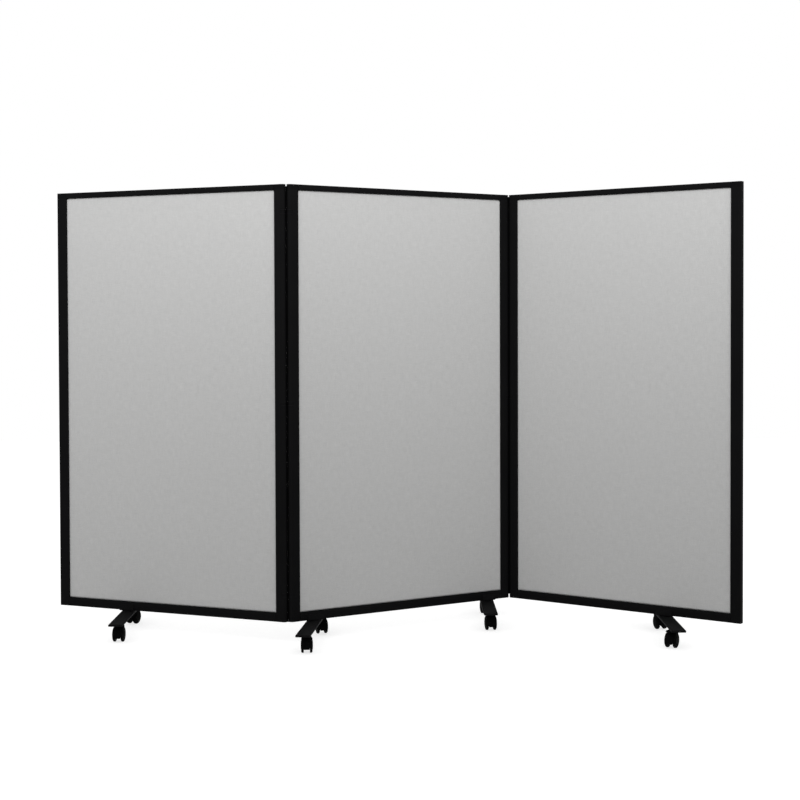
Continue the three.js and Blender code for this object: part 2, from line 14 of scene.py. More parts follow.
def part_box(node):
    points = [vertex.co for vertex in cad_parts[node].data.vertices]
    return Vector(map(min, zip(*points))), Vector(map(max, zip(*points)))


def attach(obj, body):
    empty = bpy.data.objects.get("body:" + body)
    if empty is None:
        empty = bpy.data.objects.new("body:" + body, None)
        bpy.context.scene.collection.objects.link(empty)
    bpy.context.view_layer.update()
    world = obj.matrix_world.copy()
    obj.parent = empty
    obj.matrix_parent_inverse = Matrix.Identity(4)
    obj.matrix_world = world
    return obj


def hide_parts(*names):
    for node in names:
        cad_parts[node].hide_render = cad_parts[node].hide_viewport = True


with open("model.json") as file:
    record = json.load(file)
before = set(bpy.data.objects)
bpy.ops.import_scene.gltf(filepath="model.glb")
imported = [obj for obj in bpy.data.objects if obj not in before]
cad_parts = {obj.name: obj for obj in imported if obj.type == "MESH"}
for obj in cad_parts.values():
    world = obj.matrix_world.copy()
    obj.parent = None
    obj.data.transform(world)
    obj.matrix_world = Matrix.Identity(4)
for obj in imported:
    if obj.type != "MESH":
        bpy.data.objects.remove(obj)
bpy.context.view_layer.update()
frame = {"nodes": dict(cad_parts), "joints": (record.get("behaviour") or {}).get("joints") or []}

MM = 0.001
UP = Vector((0, 0, 1))
JOINTS = {joint["name"]: joint for joint in frame["joints"]}

# ---------- Sizes ----------

# Frame profiles
FRAME_DEPTH = 22 * MM
STILE_FACE = 37 * MM
STILE_CROWN = 0.9 * MM  # how far a stile's face falls back towards the window
RAIL_CROWN = 1.1 * MM  # and a rail's face towards both of its edges
EDGE_ROUND = 1.2 * MM
FREE_EDGE_ROUND = 3 * MM
TUBE_WALL = 2 * MM
GROOVE_DEPTH = 8 * MM
GROOVE_WIDTH = 6.6 * MM
CAP_HEIGHT = 18 * MM  # moulded cap on top of a stile
FOOT_CAP_HEIGHT = 4 * MM  # and under it
CAP_ROUND = 1.3 * MM
CORNER_KEY = 5 * MM  # small web in the window's top corners

# Fabric
COVER_HALF = 3.0 * MM  # board's mid-plane to the fabric's face
COVER_THICKNESS = 0.6 * MM
COVER_INSERT = 7 * MM  # how far the fabric goes into the grooves
COVER_RIPPLE = 0.35 * MM
RIPPLES_PER_METRE = 5
RIPPLE_MARGIN = 60 * MM  # over which it fades towards the window's edge
COVER_PAD = 2 * MM  # soft backing that lifts the fabric inside the window
PAD_EDGE = 3 * MM  # over this distance from the window's edge
THREAD = 1.15 * MM  # from one thread to the next

# Hinges
FILLER_THICKNESS = 3.44 * MM
FILLER_DEPTH = 17 * MM
FILLER_FOOT = 0.5 * MM
KNUCKLE_RADIUS = 10.8 * MM
KNUCKLE_HEIGHT = 12 * MM
KNUCKLE_END_OFFSET = 90 * MM
KNUCKLE_WEB = 6 * MM
KNUCKLE_EDGE = 0.15 * MM
KNUCKLE_CLEARANCE = 0.5 * MM  # round the knuckles
KNUCKLE_PLAY = 0.25 * MM  # above and below them
PIN_RADIUS = 3 * MM
PIN_BORE = 3.4 * MM
PIN_CHAMFER = 0.8 * MM

# Feet
CROSSBAR_WIDTH = 48 * MM
CROSSBAR_CORNER = 6 * MM
CROSSBAR_EDGE_WIDTH = 5 * MM  # soft edge all round its top
CROSSBAR_EDGE_DROP = 2.4 * MM
CASTER_INSET = 95 * MM  # crossbar's end to the caster's stem
SADDLE_WIDTH = 56 * MM
SADDLE_PLATE = 2 * MM
SADDLE_BEND = 2.6 * MM
SADDLE_CORNER = 5 * MM
SADDLE_FIT = 0.3 * MM
SADDLE_RISE = 20 * MM  # how far it reaches up the rail
SADDLE_EDGE = 0.35 * MM
BOSS_RADIUS = 15 * MM
BOLT_RADIUS = 5 * MM
BOLT_PLAY = 0.4 * MM
BOLT_TIP = 2.5 * MM  # below the nut
BOLT_EDGE = 0.3 * MM
WASHER_REACH = 1.5 * MM  # past the nut
NUT_RADIUS = 9.8 * MM
NUT_HEIGHT = 6 * MM

# Casters
AXLE_HEIGHT = 25 * MM
AXLE_RADIUS = 3 * MM
TRAIL = 20 * MM
WHEEL_INNER_FACE = 9.8 * MM
WHEEL_WIDTH = 10 * MM
WHEEL_RADIUS = 24.95 * MM
WHEEL_FACE = [  # its outer face: mm in from the tread, and mm below the hub's dome
    (0, 4.6), (0.5, 3.2), (2.2, 2), (4.2, 1.4), (4.8, 2.6), (10.5, 2), (11.2, 0.6), (13, 0.2),
    (18, 0),
]
AXLE_SINK = 2.8 * MM  # axle's end to the wheel's outer face
HOOD_RADIUS = 28.3 * MM
WELL_RADIUS = 26 * MM
HOOD_WIDTH = 18.8 * MM
FENDER_WIDTH = 31 * MM
FENDER_ROUND = 2 * MM  # how far the roof's shoulders fall
FENDER_SHOULDER = 7 * MM  # and how wide they are
HUB_BOSS_RADIUS = 8 * MM
HUB_BOSS_ROUND = 0.8 * MM
NECK_RADIUS = 12 * MM
NECK_FLARE = 14.2 * MM
NECK_COLLAR = 0.9 * MM
STEM_RADIUS = 5 * MM
STEM_RISE = 5.5 * MM
CASTER_EDGE = 0.5 * MM
HOOD_ANGLES = (-24, 144)  # degrees round the axle, from straight behind over the top
FENDER_ANGLES = (-12, 120)

# Brake pedals
PIVOT_BACK = 16 * MM
PIVOT_DROP = 6 * MM
PEDAL_LENGTH = 36 * MM
PEDAL_TREAD_LENGTH = 26 * MM
PEDAL_TREAD_WIDTH = 22 * MM
PEDAL_ROOT_WIDTH = 14 * MM
PEDAL_THICKNESS = 3 * MM
PEDAL_CORNER = 3 * MM
PEDAL_TIP_CORNER = 5 * MM
PEDAL_SHOULDER = 4 * MM
PEDAL_EDGE = 0.4 * MM
PEDAL_BARREL = 2.8 * MM
RIB_COUNT = 6
RIB_PITCH = 3 * MM
RIB_HALF = 0.6 * MM
CHEEK_THICKNESS = 3.5 * MM
CHEEK_GAP = 0.5 * MM

# Screws
SCREW_RADIUS = 2.9 * MM
SADDLE_SCREW_SINK = MM  # so that the heads clear the next panel when folded flat
SADDLE_SCREW_SPREAD = 18 * MM  # either side of the swivel
SADDLE_SCREW_RISE = 11 * MM
FILLER_SCREW_RADIUS = 1.4 * MM
FILLER_SCREW_RISE = 19 * MM  # above the bottom of the stiles

# How finely the curves are drawn
SMOOTH_ANGLE = math.radians(35)
FACE_STEPS = 6
NOSE_STEPS = 28
CLOTH_COLUMNS = 56
CLOTH_ROWS = 90
FOLD_STEPS = 4

# Studio
FLOOR_SIZE = 9.0
FLOOR_TONE = 0.5
FLOOR_LIFT = 0.72
FILL_LEVEL = 0.8
CAMERA_PLACE = Vector((0.0380, -5.3602, 1.0514))
CAMERA_LENS = 69.854
CAMERA_SHIFT_UP = -0.0459
CAMERA_PITCH_DOWN = 1.333
CAMERA_ROLL = -0.186

# ---------- Where things are ----------


def floor_point(joint_name):
    """The point on the floor under a joint."""
    point = Vector(JOINTS[joint_name]["pos_m"])
    return Vector((point.x, point.y, 0))


def standing(origin, along):
    """A frame at origin whose x runs along a level direction and whose z is up."""
    x = along.normalized()
    place = Matrix((x, UP.cross(x), UP)).transposed().to_4x4()
    place.translation = origin
    return place


NOSE = FRAME_DEPTH / 2
INNER_PINS = [floor_point(f"{side}_hinge_inner") for side in ("left", "right")]
PANEL_WIDTH = (INNER_PINS[1] - INNER_PINS[0]).length + 2 * NOSE
PIVOT_IN_STILE = STILE_FACE - NOSE
FRAME_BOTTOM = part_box("centre_panel_left_stile")[0].z
FRAME_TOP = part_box("centre_panel_left_stile")[1].z
WINDOW_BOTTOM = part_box("centre_panel_bottom_rail")[1].z
WINDOW_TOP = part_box("centre_panel_top_rail")[0].z
CROSSBAR_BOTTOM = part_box("left_foot_crossbar")[0].z
CROSSBAR_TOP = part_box("left_foot_crossbar")[1].z
NECK_TOP = CROSSBAR_BOTTOM - SADDLE_FIT
PIVOT_HEIGHT = NECK_TOP - PIVOT_DROP
KNUCKLES = [
    FRAME_BOTTOM + KNUCKLE_END_OFFSET,
    (FRAME_BOTTOM + FRAME_TOP) / 2,
    FRAME_TOP - KNUCKLE_END_OFFSET,
]

PANEL_ENDS = {
    "left": ("free", "hinge"),
    "centre": ("hinge", "hinge"),
    "right": ("hinge", "free"),
}
FOOT_PANEL = {"left": "left", "centre_left": "centre", "centre_right": "centre", "right": "right"}


def panel_place(name):
    """A panel's frame: its origin is on the floor under the panel's left edge."""
    if name == "centre":
        along = (INNER_PINS[1] - INNER_PINS[0]).normalized()
        return standing(INNER_PINS[0] - NOSE * along, along)
    pin, foot = floor_point(f"{name}_hinge_outer"), floor_point(f"{name}_foot_swivel")
    if name == "left":
        along = (pin - foot).normalized()
        return standing(pin - (PANEL_WIDTH - NOSE) * along, along)
    along = (foot - pin).normalized()
    return standing(pin - NOSE * along, along)


def link_place(side):
    inner, outer = floor_point(f"{side}_hinge_inner"), floor_point(f"{side}_hinge_outer")
    return standing((inner + outer) / 2, outer - inner)


def foot_place(foot):
    front = floor_point(f"{foot}_foot_front_caster_swivel")
    rear = floor_point(f"{foot}_foot_rear_caster_swivel")
    return standing(floor_point(f"{foot}_foot_swivel"), (rear - front).cross(UP))


def caster_place(caster):
    axle = Vector(JOINTS[f"{caster}_right_wheel_spin"]["axis"])
    return standing(floor_point(f"{caster}_swivel"), axle)


PANELS = {name: panel_place(name) for name in PANEL_ENDS}

# Turns a shape drawn on the XY plane: its x lies along Y, its y along Z and its depth along X.
TO_SIDE = Matrix(((0, 0, 1, 0), (1, 0, 0, 0), (0, 1, 0, 0), (0, 0, 0, 1)))
HALF_TURN = Matrix.Rotation(math.pi, 4, "Z")
UPRIGHT = Matrix.Identity(4)
ACROSS = Matrix.Rotation(math.pi / 2, 4, "Y")  # lays a turned shape's axis along X
AXLE_PLACE = Matrix.Translation((0, TRAIL, AXLE_HEIGHT))


def moved(x=0.0, y=0.0, z=0.0):
    return Matrix.Translation((x, y, z))


# ---------- Outlines ----------


def arc(x, y, radius, start, end, steps):
    """Points on a circle, from start to end in degrees."""
    turns = (math.radians(start + (end - start) * step / steps) for step in range(steps + 1))
    return [(x + radius * math.cos(turn), y + radius * math.sin(turn)) for turn in turns]


def circle(x, y, radius, steps=32):
    return arc(x, y, radius, 0, 360 - 360 / steps, steps - 1)


def rounded(corners, steps=6):
    """An anticlockwise outline through (x, y, radius) corners, rounded where the radius isn't 0."""
    outline = []
    for index, (x, y, radius) in enumerate(corners):
        corner = Vector((x, y))
        before = (Vector(corners[index - 1][:2]) - corner).normalized()
        after = (Vector(corners[(index + 1) % len(corners)][:2]) - corner).normalized()
        if not radius:
            outline.append((x, y))
            continue
        half = before.angle(after) / 2
        reach = radius / math.tan(half)
        centre = corner + (before + after).normalized() * radius / math.sin(half)
        start, end = corner + before * reach - centre, corner + after * reach - centre
        sweep = start.angle_signed(end)
        for step in range(steps + 1):
            spoke = start.copy()
            spoke.rotate(Matrix.Rotation(-sweep * step / steps, 2))
            outline.append(tuple(centre + spoke))
    return outline


def box_outline(x0, x1, y0, y1, radius=0.0):
    return rounded([(x0, y0, radius), (x1, y0, radius), (x1, y1, radius), (x0, y1, radius)])


# ---------- Node trees that make geometry ----------


def new_tree(name, inputs):
    """An empty tree with named inputs, given as {name: kind}, and one geometry output."""
    tree = bpy.data.node_groups.new(name, "GeometryNodeTree")
    for label, kind in inputs.items():
        tree.interface.new_socket(label, in_out="INPUT", socket_type=f"NodeSocket{kind}")
    tree.interface.new_socket("Geometry", in_out="OUTPUT", socket_type="NodeSocketGeometry")
    return tree


def add_node(tree, kind, settings=None, **sources):
    """A node with its settings, and with its sockets, by name, joined to other sockets or set."""
    node = tree.nodes.new(kind)
    for key, value in (settings or {}).items():
        setattr(node, key, value)
    for label, source in sources.items():
        socket = node.inputs[label.replace("_", " ")]
        if isinstance(source, bpy.types.NodeSocket):
            tree.links.new(source, socket)
        else:
            socket.default_value = source
    return node


def output(tree, kind, label, settings=None, **sources):
    """The output called label of a new node."""
    return add_node(tree, kind, settings, **sources).outputs[label]


def add_maths(tree, operation, first, second=0.5):
    """An operation on two values, each a number or a socket."""
    node = tree.nodes.new("ShaderNodeMath")
    node.operation = operation
    for socket, value in zip(node.inputs, (first, second)):
        if isinstance(value, bpy.types.NodeSocket):
            tree.links.new(value, socket)
        else:
            socket.default_value = value
    return node.outputs["Value"]


def finished_tree(tree, geometry, finish):
    """Ends a tree: its copies become real, get their finish and go out."""
    real = output(tree, "GeometryNodeRealizeInstances", "Geometry", Geometry=geometry)
    last = output(tree, "GeometryNodeSetMaterial", "Geometry", Geometry=real, Material=finish)
    end = tree.nodes.new("NodeGroupOutput")
    tree.links.new(last, end.inputs["Geometry"])
    return tree


def extrusion_tree():
    """A closed bar with any section: the section is filled, drawn out upwards and shut below."""
    inputs = {"Section": "Object", "Length": "Float", "Start": "Float", "Finish": "Material"}
    tree = new_tree("drawn_bar", inputs)
    given = add_node(tree, "NodeGroupInput").outputs
    section = output(tree, "GeometryNodeObjectInfo", "Geometry", Object=given["Section"])
    filled = output(tree, "GeometryNodeFillCurve", "Mesh", {"mode": "NGONS"}, Curve=section)
    way = output(tree, "ShaderNodeCombineXYZ", "Vector", Z=given["Length"])
    drawn = output(
        tree, "GeometryNodeExtrudeMesh", "Mesh", {"mode": "FACES"},
        Mesh=filled, Offset=way, Offset_Scale=1.0, Individual=False,
    )
    lower = output(tree, "GeometryNodeFlipFaces", "Mesh", Mesh=filled)
    whole = add_node(tree, "GeometryNodeJoinGeometry")
    tree.links.new(drawn, whole.inputs["Geometry"])
    tree.links.new(lower, whole.inputs["Geometry"])
    closed = output(
        tree, "GeometryNodeMergeByDistance", "Geometry",
        Geometry=whole.outputs["Geometry"], Distance=1e-6,
    )
    lift = output(tree, "ShaderNodeCombineXYZ", "Vector", Z=given["Start"])
    raised = output(
        tree, "GeometryNodeTransform", "Geometry", Geometry=closed, Translation=lift
    )
    return finished_tree(tree, raised, given["Finish"])


def repeat_tree():
    """Copies of one small part, one at each point, its z along the point's direction."""
    inputs = {"Places": "Geometry", "Part": "Object", "Size": "Float", "Finish": "Material"}
    tree = new_tree("small_parts", inputs)
    given = add_node(tree, "NodeGroupInput").outputs
    part = output(
        tree, "GeometryNodeObjectInfo", "Geometry", Object=given["Part"], As_Instance=True
    )
    kind = {"data_type": "FLOAT_VECTOR"}
    facing = output(tree, "GeometryNodeInputNamedAttribute", "Attribute", kind, Name="facing")
    turn = output(
        tree, "FunctionNodeAlignRotationToVector", "Rotation", {"axis": "Z"}, Vector=facing
    )
    copies = output(
        tree, "GeometryNodeInstanceOnPoints", "Instances",
        Points=given["Places"], Instance=part, Rotation=turn, Scale=given["Size"],
    )
    return finished_tree(tree, copies, given["Finish"])


DRAWN_BAR = extrusion_tree()
SMALL_PARTS = repeat_tree()


def linked(name, data):
    thing = bpy.data.objects.new(name, data)
    bpy.context.scene.collection.objects.link(thing)
    return thing


def plain_mesh(thing):
    """The mesh of an object with its modifiers applied. The object itself goes."""
    depsgraph = bpy.context.evaluated_depsgraph_get()
    mesh = bpy.data.meshes.new_from_object(thing.evaluated_get(depsgraph))
    bpy.data.objects.remove(thing)
    return mesh


def made_by(tree, carrier, values):
    """Runs a tree on a carrier object with its named inputs, and gives the plain mesh."""
    modifier = carrier.modifiers.new(tree.name, "NODES")
    modifier.node_group = tree
    for socket in tree.interface.items_tree:
        if socket.in_out == "INPUT" and socket.name in values:
            modifier[socket.identifier] = values[socket.name]
    bpy.context.scene.collection.objects.link(carrier)
    return plain_mesh(carrier)


def drawn_bar(outlines, start, length, finish):
    """A bar from z = start. The first outline of its section is outside, the others are holes."""
    curve = bpy.data.curves.new("section", "CURVE")
    curve.dimensions = "2D"
    for outline in outlines:
        spline = curve.splines.new("POLY")
        spline.points.add(len(outline) - 1)
        for point, (x, y) in zip(spline.points, outline):
            point.co = (x, y, 0, 1)
        spline.use_cyclic_u = True
    section = linked("section", curve)
    carrier = bpy.data.objects.new("bar", bpy.data.meshes.new("bar"))
    values = {"Section": section, "Length": length, "Start": start, "Finish": finish}
    mesh = made_by(DRAWN_BAR, carrier, values)
    bpy.data.objects.remove(section)
    return mesh


def small_parts(places, part, finish, size=1.0):
    """One mesh of copies of part, at (point, direction) places."""
    mesh = bpy.data.meshes.new("places")
    mesh.from_pydata([tuple(point) for point, _ in places], [], [])
    facing = mesh.attributes.new("facing", "FLOAT_VECTOR", "POINT")
    for item, (_, direction) in zip(facing.data, places):
        item.vector = direction
    carrier = bpy.data.objects.new("places", mesh)
    return made_by(SMALL_PARTS, carrier, {"Part": part, "Size": size, "Finish": finish})


# ---------- Mesh helpers ----------


def add_loops(bm, loops):
    """A skin over rings of points, shut at both ends."""
    rings = [[bm.verts.new(point) for point in loop] for loop in loops]
    for low, high in zip(rings, rings[1:]):
        count = len(low)
        for index in range(count):
            after = (index + 1) % count
            bm.faces.new((low[index], low[after], high[after], high[index]))
    bm.faces.new(list(reversed(rings[0])))
    bm.faces.new(rings[-1])


def add_lathe(bm, profile, steps, place=UPRIGHT):
    """A turned shape: (radius, height) points round the place's z, shut on the axis."""
    rings = []
    for radius, height in profile:
        if radius == 0:
            rings.append([bm.verts.new(place @ Vector((0, 0, height)))])
        else:
            ring = circle(0, 0, radius, steps)
            rings.append([bm.verts.new(place @ Vector((x, y, height))) for x, y in ring])
    for low, high in zip(rings, rings[1:]):
        for index in range(steps):
            after = (index + 1) % steps
            corners = [low[index % len(low)], low[after % len(low)]]
            corners += [high[after % len(high)], high[index % len(high)]]
            bm.faces.new(list(dict.fromkeys(corners)))


def add_rod(bm, radius, low, high, steps, place=UPRIGHT):
    """A plain round bar between two heights on the place's z."""
    add_lathe(bm, [(0, low), (radius, low), (radius, high), (0, high)], steps, place)


def add_prism(bm, outline, base, height):
    add_loops(bm, [[(x, y, z) for x, y in outline] for z in (base, base + height)])


def written(bm, name="piece"):
    """The bmesh as a mesh. The bmesh itself goes."""
    mesh = bpy.data.meshes.new(name)
    bm.to_mesh(mesh)
    bm.free()
    return mesh


def mesh_of(bm):
    """The mesh of closed shells, faced outwards."""
    bmesh.ops.recalc_face_normals(bm, faces=bm.faces)
    return written(bm)


def joined(meshes):
    """Several meshes with one finish as a single mesh."""
    bm = bmesh.new()
    for mesh in meshes:
        bm.from_mesh(mesh)
    return written(bm)


def shaped(mesh, tool, operation):
    """The mesh after a boolean with tool."""
    piece, other = linked("piece", mesh), linked("tool", tool)
    modifier = piece.modifiers.new("shape", "BOOLEAN")
    modifier.operation = operation
    modifier.solver = "EXACT"
    modifier.object = other
    result = plain_mesh(piece)
    bpy.data.objects.remove(other)
    return result


def settle(name, mesh, place, finish, body, nodes=(), round_edges=0.0):
    """Puts a finished mesh in its place as a piece of the partition."""
    mesh.transform(place)
    mesh.materials.clear()
    mesh.materials.append(finish)
    mesh.shade_smooth()
    mesh.set_sharp_from_angle(angle=SMOOTH_ANGLE)
    piece = linked(name, mesh)
    if round_edges:
        bevel = piece.modifiers.new("edges", "BEVEL")
        bevel.width = round_edges
        bevel.segments = 3
        bevel.limit_method = "ANGLE"
        bevel.angle_limit = SMOOTH_ANGLE
        bevel.harden_normals = True
    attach(piece, body)
    if nodes:
        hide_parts(*nodes)
    return piece


# ---------- Materials ----------


class Finish:
    """A material in the making: a Principled shader and the nodes that feed it."""

    def __init__(self, name, colour, roughness, **fixed):
        self.material = bpy.data.materials.new(name)
        self.material.use_nodes = True
        self.tree = self.material.node_tree
        self.shader = self.tree.nodes["Principled BSDF"]
        self.set("Base Color", (*colour, 1))
        self.set("Roughness", roughness)
        for label, value in fixed.items():
            self.set(label.replace("_", " "), value)
        self.where = self.tree.nodes.new("ShaderNodeTexCoord").outputs["Object"]

    def set(self, label, value):
        self.shader.inputs[label].default_value = value

    def node(self, kind, settings=None, **sources):
        return add_node(self.tree, kind, settings, **sources)

    def scaled(self, x, y, z, where=None):
        where = where or self.where
        return output(self.tree, "ShaderNodeMapping", "Vector", Vector=where, Scale=(x, y, z))

    def noise(self, scale, detail=2.0, where=None):
        values = {"Vector": where or self.where, "Scale": scale, "Detail": detail}
        return output(self.tree, "ShaderNodeTexNoise", "Fac", **values)

    def maths(self, operation, first, second=0.5):
        return add_maths(self.tree, operation, first, second)

    def spread(self, value, low, high):
        """Maps 0..1 to low..high."""
        node = self.node("ShaderNodeMapRange", Value=value, To_Min=low, To_Max=high)
        return node.outputs["Result"]

    def blend_colours(self, factor, low, high):
        node = self.tree.nodes.new("ShaderNodeMix")
        node.data_type = "RGBA"
        self.tree.links.new(factor, node.inputs["Factor"])
        for label, colour in (("A", low), ("B", high)):
            socket = next(s for s in node.inputs if s.name == label and s.type == "RGBA")
            if isinstance(colour, bpy.types.NodeSocket):
                self.tree.links.new(colour, socket)
            else:
                socket.default_value = (*colour, 1)
        return next(s for s in node.outputs if s.type == "RGBA")

    def feed(self, label, source):
        self.tree.links.new(source, self.shader.inputs[label])

    def bump(self, height, distance, strength=1.0):
        source = {"Height": height, "Distance": distance, "Strength": strength}
        linked_normal = self.shader.inputs["Normal"].links
        if linked_normal:
            source["Normal"] = linked_normal[0].from_socket
        node = self.node("ShaderNodeBump", **source)
        self.feed("Normal", node.outputs["Normal"])


def powder_coat():
    """Satin black coat on the frame profiles: a fine pebble, with patchy roughness under it."""
    f = Finish("satin_black_frame", (0.0065, 0.0065, 0.0067), 0.45, Specular_IOR_Level=0.008)
    pebble = f.noise(2600, 2)
    cloud = f.noise(9, 3)
    f.feed("Base Color", f.blend_colours(cloud, (0.0055, 0.0055, 0.0058), (0.0078, 0.0078, 0.0081)))
    f.feed("Roughness", f.spread(f.noise(420, 4), 0.4, 0.52))
    f.bump(pebble, 0.03 * MM, 0.35)
    return f.material


def cap_plastic():
    f = Finish("moulded_black_caps", (0.004, 0.004, 0.0043), 0.55, Specular_IOR_Level=0.025)
    f.feed("Roughness", f.spread(f.noise(900, 2), 0.5, 0.64))
    f.bump(f.noise(3200, 1), 0.04 * MM, 0.4)
    return f.material


def hinge_plastic():
    # Black strip in the gap between the stiles, darker and duller than the knuckles of the same
    # plastic: partly its own black, partly painted shade that keeps the gap dark.
    f = Finish("black_hinge_strip_painted_shade", (0.002, 0.002, 0.0022), 0.8, Specular_IOR_Level=0.005)
    f.feed("Roughness", f.spread(f.noise(700, 3), 0.7, 0.9))
    f.bump(f.noise(2400, 2), 0.03 * MM, 0.4)
    return f.material


def bright_steel():
    f = Finish("bright_drawn_steel", (0.55, 0.56, 0.58), 0.3, Metallic=1.0)
    lines = f.noise(60, 2, f.scaled(1, 1, 60))
    f.feed("Roughness", f.spread(lines, 0.22, 0.4))
    f.bump(lines, 0.01 * MM, 0.5)
    return f.material


def zinc_screw():
    f = Finish("zinc_plated_screws", (0.62, 0.63, 0.66), 0.32, Metallic=1.0)
    f.feed("Roughness", f.spread(f.noise(1500, 2), 0.25, 0.42))
    f.bump(f.noise(4000, 1), 0.01 * MM, 0.4)
    return f.material


def foot_paint():
    """Semi-gloss black paint on flat steel bar, with a faint orange peel."""
    f = Finish("semi_gloss_black_feet", (0.0075, 0.0075, 0.0078), 0.5, Specular_IOR_Level=0.01)
    darker, lighter = (0.0065, 0.0065, 0.0067), (0.0088, 0.0088, 0.0091)
    f.feed("Base Color", f.blend_colours(f.noise(14, 3), darker, lighter))
    f.feed("Roughness", f.spread(f.noise(240, 4), 0.44, 0.58))
    f.bump(f.noise(520, 2), 0.05 * MM, 0.3)
    f.bump(f.noise(2600, 1), 0.02 * MM, 0.3)
    return f.material


def caster_nylon():
    f = Finish("textured_black_nylon", (0.003, 0.003, 0.0032), 0.6, Specular_IOR_Level=0.012)
    f.feed("Roughness", f.spread(f.noise(600, 3), 0.54, 0.68))
    f.bump(f.noise(2200, 2), 0.05 * MM, 0.45)
    return f.material


def wheel_nylon():
    f = Finish("black_nylon_wheels", (0.0025, 0.0025, 0.0026), 0.6, Specular_IOR_Level=0.01)
    darker, lighter = (0.002, 0.002, 0.0021), (0.0034, 0.0034, 0.0033)
    f.feed("Base Color", f.blend_colours(f.noise(90, 3), darker, lighter))
    f.feed("Roughness", f.spread(f.noise(380, 4), 0.52, 0.7))
    f.bump(f.noise(1900, 2), 0.04 * MM, 0.35)
    return f.material


def hardboard():
    f = Finish("hardboard", (0.27, 0.17, 0.09), 0.8)
    f.feed("Base Color", f.blend_colours(f.noise(700, 4), (0.2, 0.12, 0.065), (0.33, 0.22, 0.12)))
    f.bump(f.noise(1200, 3), 0.1 * MM, 0.5)
    return f.material


def woven_grey():
    """Plain-weave upholstery cloth: threads over and under each other, from the cloth's own map."""
    f = Finish("light_grey_weave", (0.55, 0.55, 0.545), 0.92, Specular_IOR_Level=0.15)
    f.set("Sheen Weight", 0.12)
    f.set("Sheen Roughness", 0.55)
    cloth = f.node("ShaderNodeUVMap", {"uv_map": "cloth"}).outputs["UV"]
    place = f.node("ShaderNodeSeparateXYZ", Vector=cloth)
    across = f.maths("MULTIPLY", place.outputs["X"], math.pi / THREAD)
    upward = f.maths("MULTIPLY", place.outputs["Y"], math.pi / THREAD)
    warp, weft = f.maths("SINE", across), f.maths("SINE", upward)
    over = f.maths("GREATER_THAN", f.maths("MULTIPLY", warp, weft), 0.0)
    lifted = f.maths("MULTIPLY", over, f.maths("ABSOLUTE", warp))
    under = f.maths("MULTIPLY", f.maths("SUBTRACT", 1.0, over), f.maths("ABSOLUTE", weft))
    threads = f.maths("ADD", lifted, under)
    warp_slubs = f.noise(520, 3, f.scaled(1, 0.06, 1, cloth))
    weft_slubs = f.noise(520, 3, f.scaled(0.06, 1, 1, cloth))
    slubs = f.maths("ADD", warp_slubs, weft_slubs)
    mottle = f.maths("ADD", f.noise(330, 3, cloth), f.maths("MULTIPLY", f.noise(60, 3, cloth), 0.5))
    tone = f.maths("ADD", f.maths("MULTIPLY", slubs, 0.3), f.maths("MULTIPLY", mottle, 0.4))
    # The threads' relief also goes into the colour: their crowns lighter and the dips between them
    # darker, painted shade.
    tone = f.maths("ADD", tone, f.maths("MULTIPLY", threads, 0.16))
    f.feed("Base Color", f.blend_colours(tone, (0.315, 0.315, 0.312), (0.635, 0.635, 0.63)))
    f.bump(threads, 0.12 * MM, 0.5)
    f.bump(f.noise(700, 3, cloth), 0.08 * MM, 0.4)
    return f.material


FRAME_BLACK = powder_coat()
CAP_BLACK = cap_plastic()
HINGE_SHADED_BLACK = hinge_plastic()
STEEL = bright_steel()
ZINC = zinc_screw()
FOOT_BLACK = foot_paint()
NYLON = caster_nylon()
WHEEL_BLACK = wheel_nylon()
BOARD = hardboard()
CLOTH = woven_grey()

# ---------- Frame ----------

def stile_face(length):
    """The front face of a stile, from the window edge outwards, slightly crowned."""
    steps = [EDGE_ROUND + (length - EDGE_ROUND) * step / FACE_STEPS for step in range(FACE_STEPS)]
    return [(x, STILE_CROWN * (1 - x / length) ** 2 - NOSE) for x in steps]


def window_edge():
    """The stile's window edge, from back to front, with the groove for the covered board."""
    half, edge = GROOVE_WIDTH / 2, NOSE - STILE_CROWN
    groove = [(0, half), (GROOVE_DEPTH, half), (GROOVE_DEPTH, -half), (0, -half)]
    back = arc(EDGE_ROUND, edge - EDGE_ROUND, EDGE_ROUND, 90, 180, 4)
    front = arc(EDGE_ROUND, EDGE_ROUND - edge, EDGE_ROUND, 180, 270, 4)
    return back[1:] + groove + front[:-1]


def mirrored_back(points):
    return [(x, -y) for x, y in reversed(points)]


def stile_outline(end, grooved=True):
    """A stile's section: x runs from the window edge outwards."""
    if end == "hinge":
        face = stile_face(PIVOT_IN_STILE)
        outer = arc(PIVOT_IN_STILE, 0, NOSE, -90, 90, NOSE_STEPS)
    else:
        corner = STILE_FACE - FREE_EDGE_ROUND
        face = stile_face(corner)
        outer = arc(corner, FREE_EDGE_ROUND - NOSE, FREE_EDGE_ROUND, -90, 0, 8)
        outer += arc(corner, NOSE - FREE_EDGE_ROUND, FREE_EDGE_ROUND, 0, 90, 8)
    edge = window_edge()
    if not grooved:
        edge = [(x, y) for x, y in edge if abs(y) > GROOVE_WIDTH / 2]
    return face + outer + mirrored_back(face) + edge


def stile_mesh(end):
    holes = [circle(PIVOT_IN_STILE, 0, PIN_BORE)]
    if end == "free":
        inside = NOSE - TUBE_WALL
        holes = [
            box_outline(GROOVE_DEPTH + TUBE_WALL, STILE_FACE - TUBE_WALL, -inside, inside, MM)
        ]
    low, high = FRAME_BOTTOM + FOOT_CAP_HEIGHT, FRAME_TOP - CAP_HEIGHT
    bar = drawn_bar([stile_outline(end), *holes], low, high - low, FRAME_BLACK)
    if end == "free":
        return bar
    slots = bmesh.new()
    height = KNUCKLE_HEIGHT + 2 * KNUCKLE_PLAY
    for z in KNUCKLES:
        ring = circle(PIVOT_IN_STILE, 0, NOSE + KNUCKLE_CLEARANCE, 48)
        add_prism(slots, ring, z - height / 2, height)
    return shaped(bar, mesh_of(slots), "DIFFERENCE")


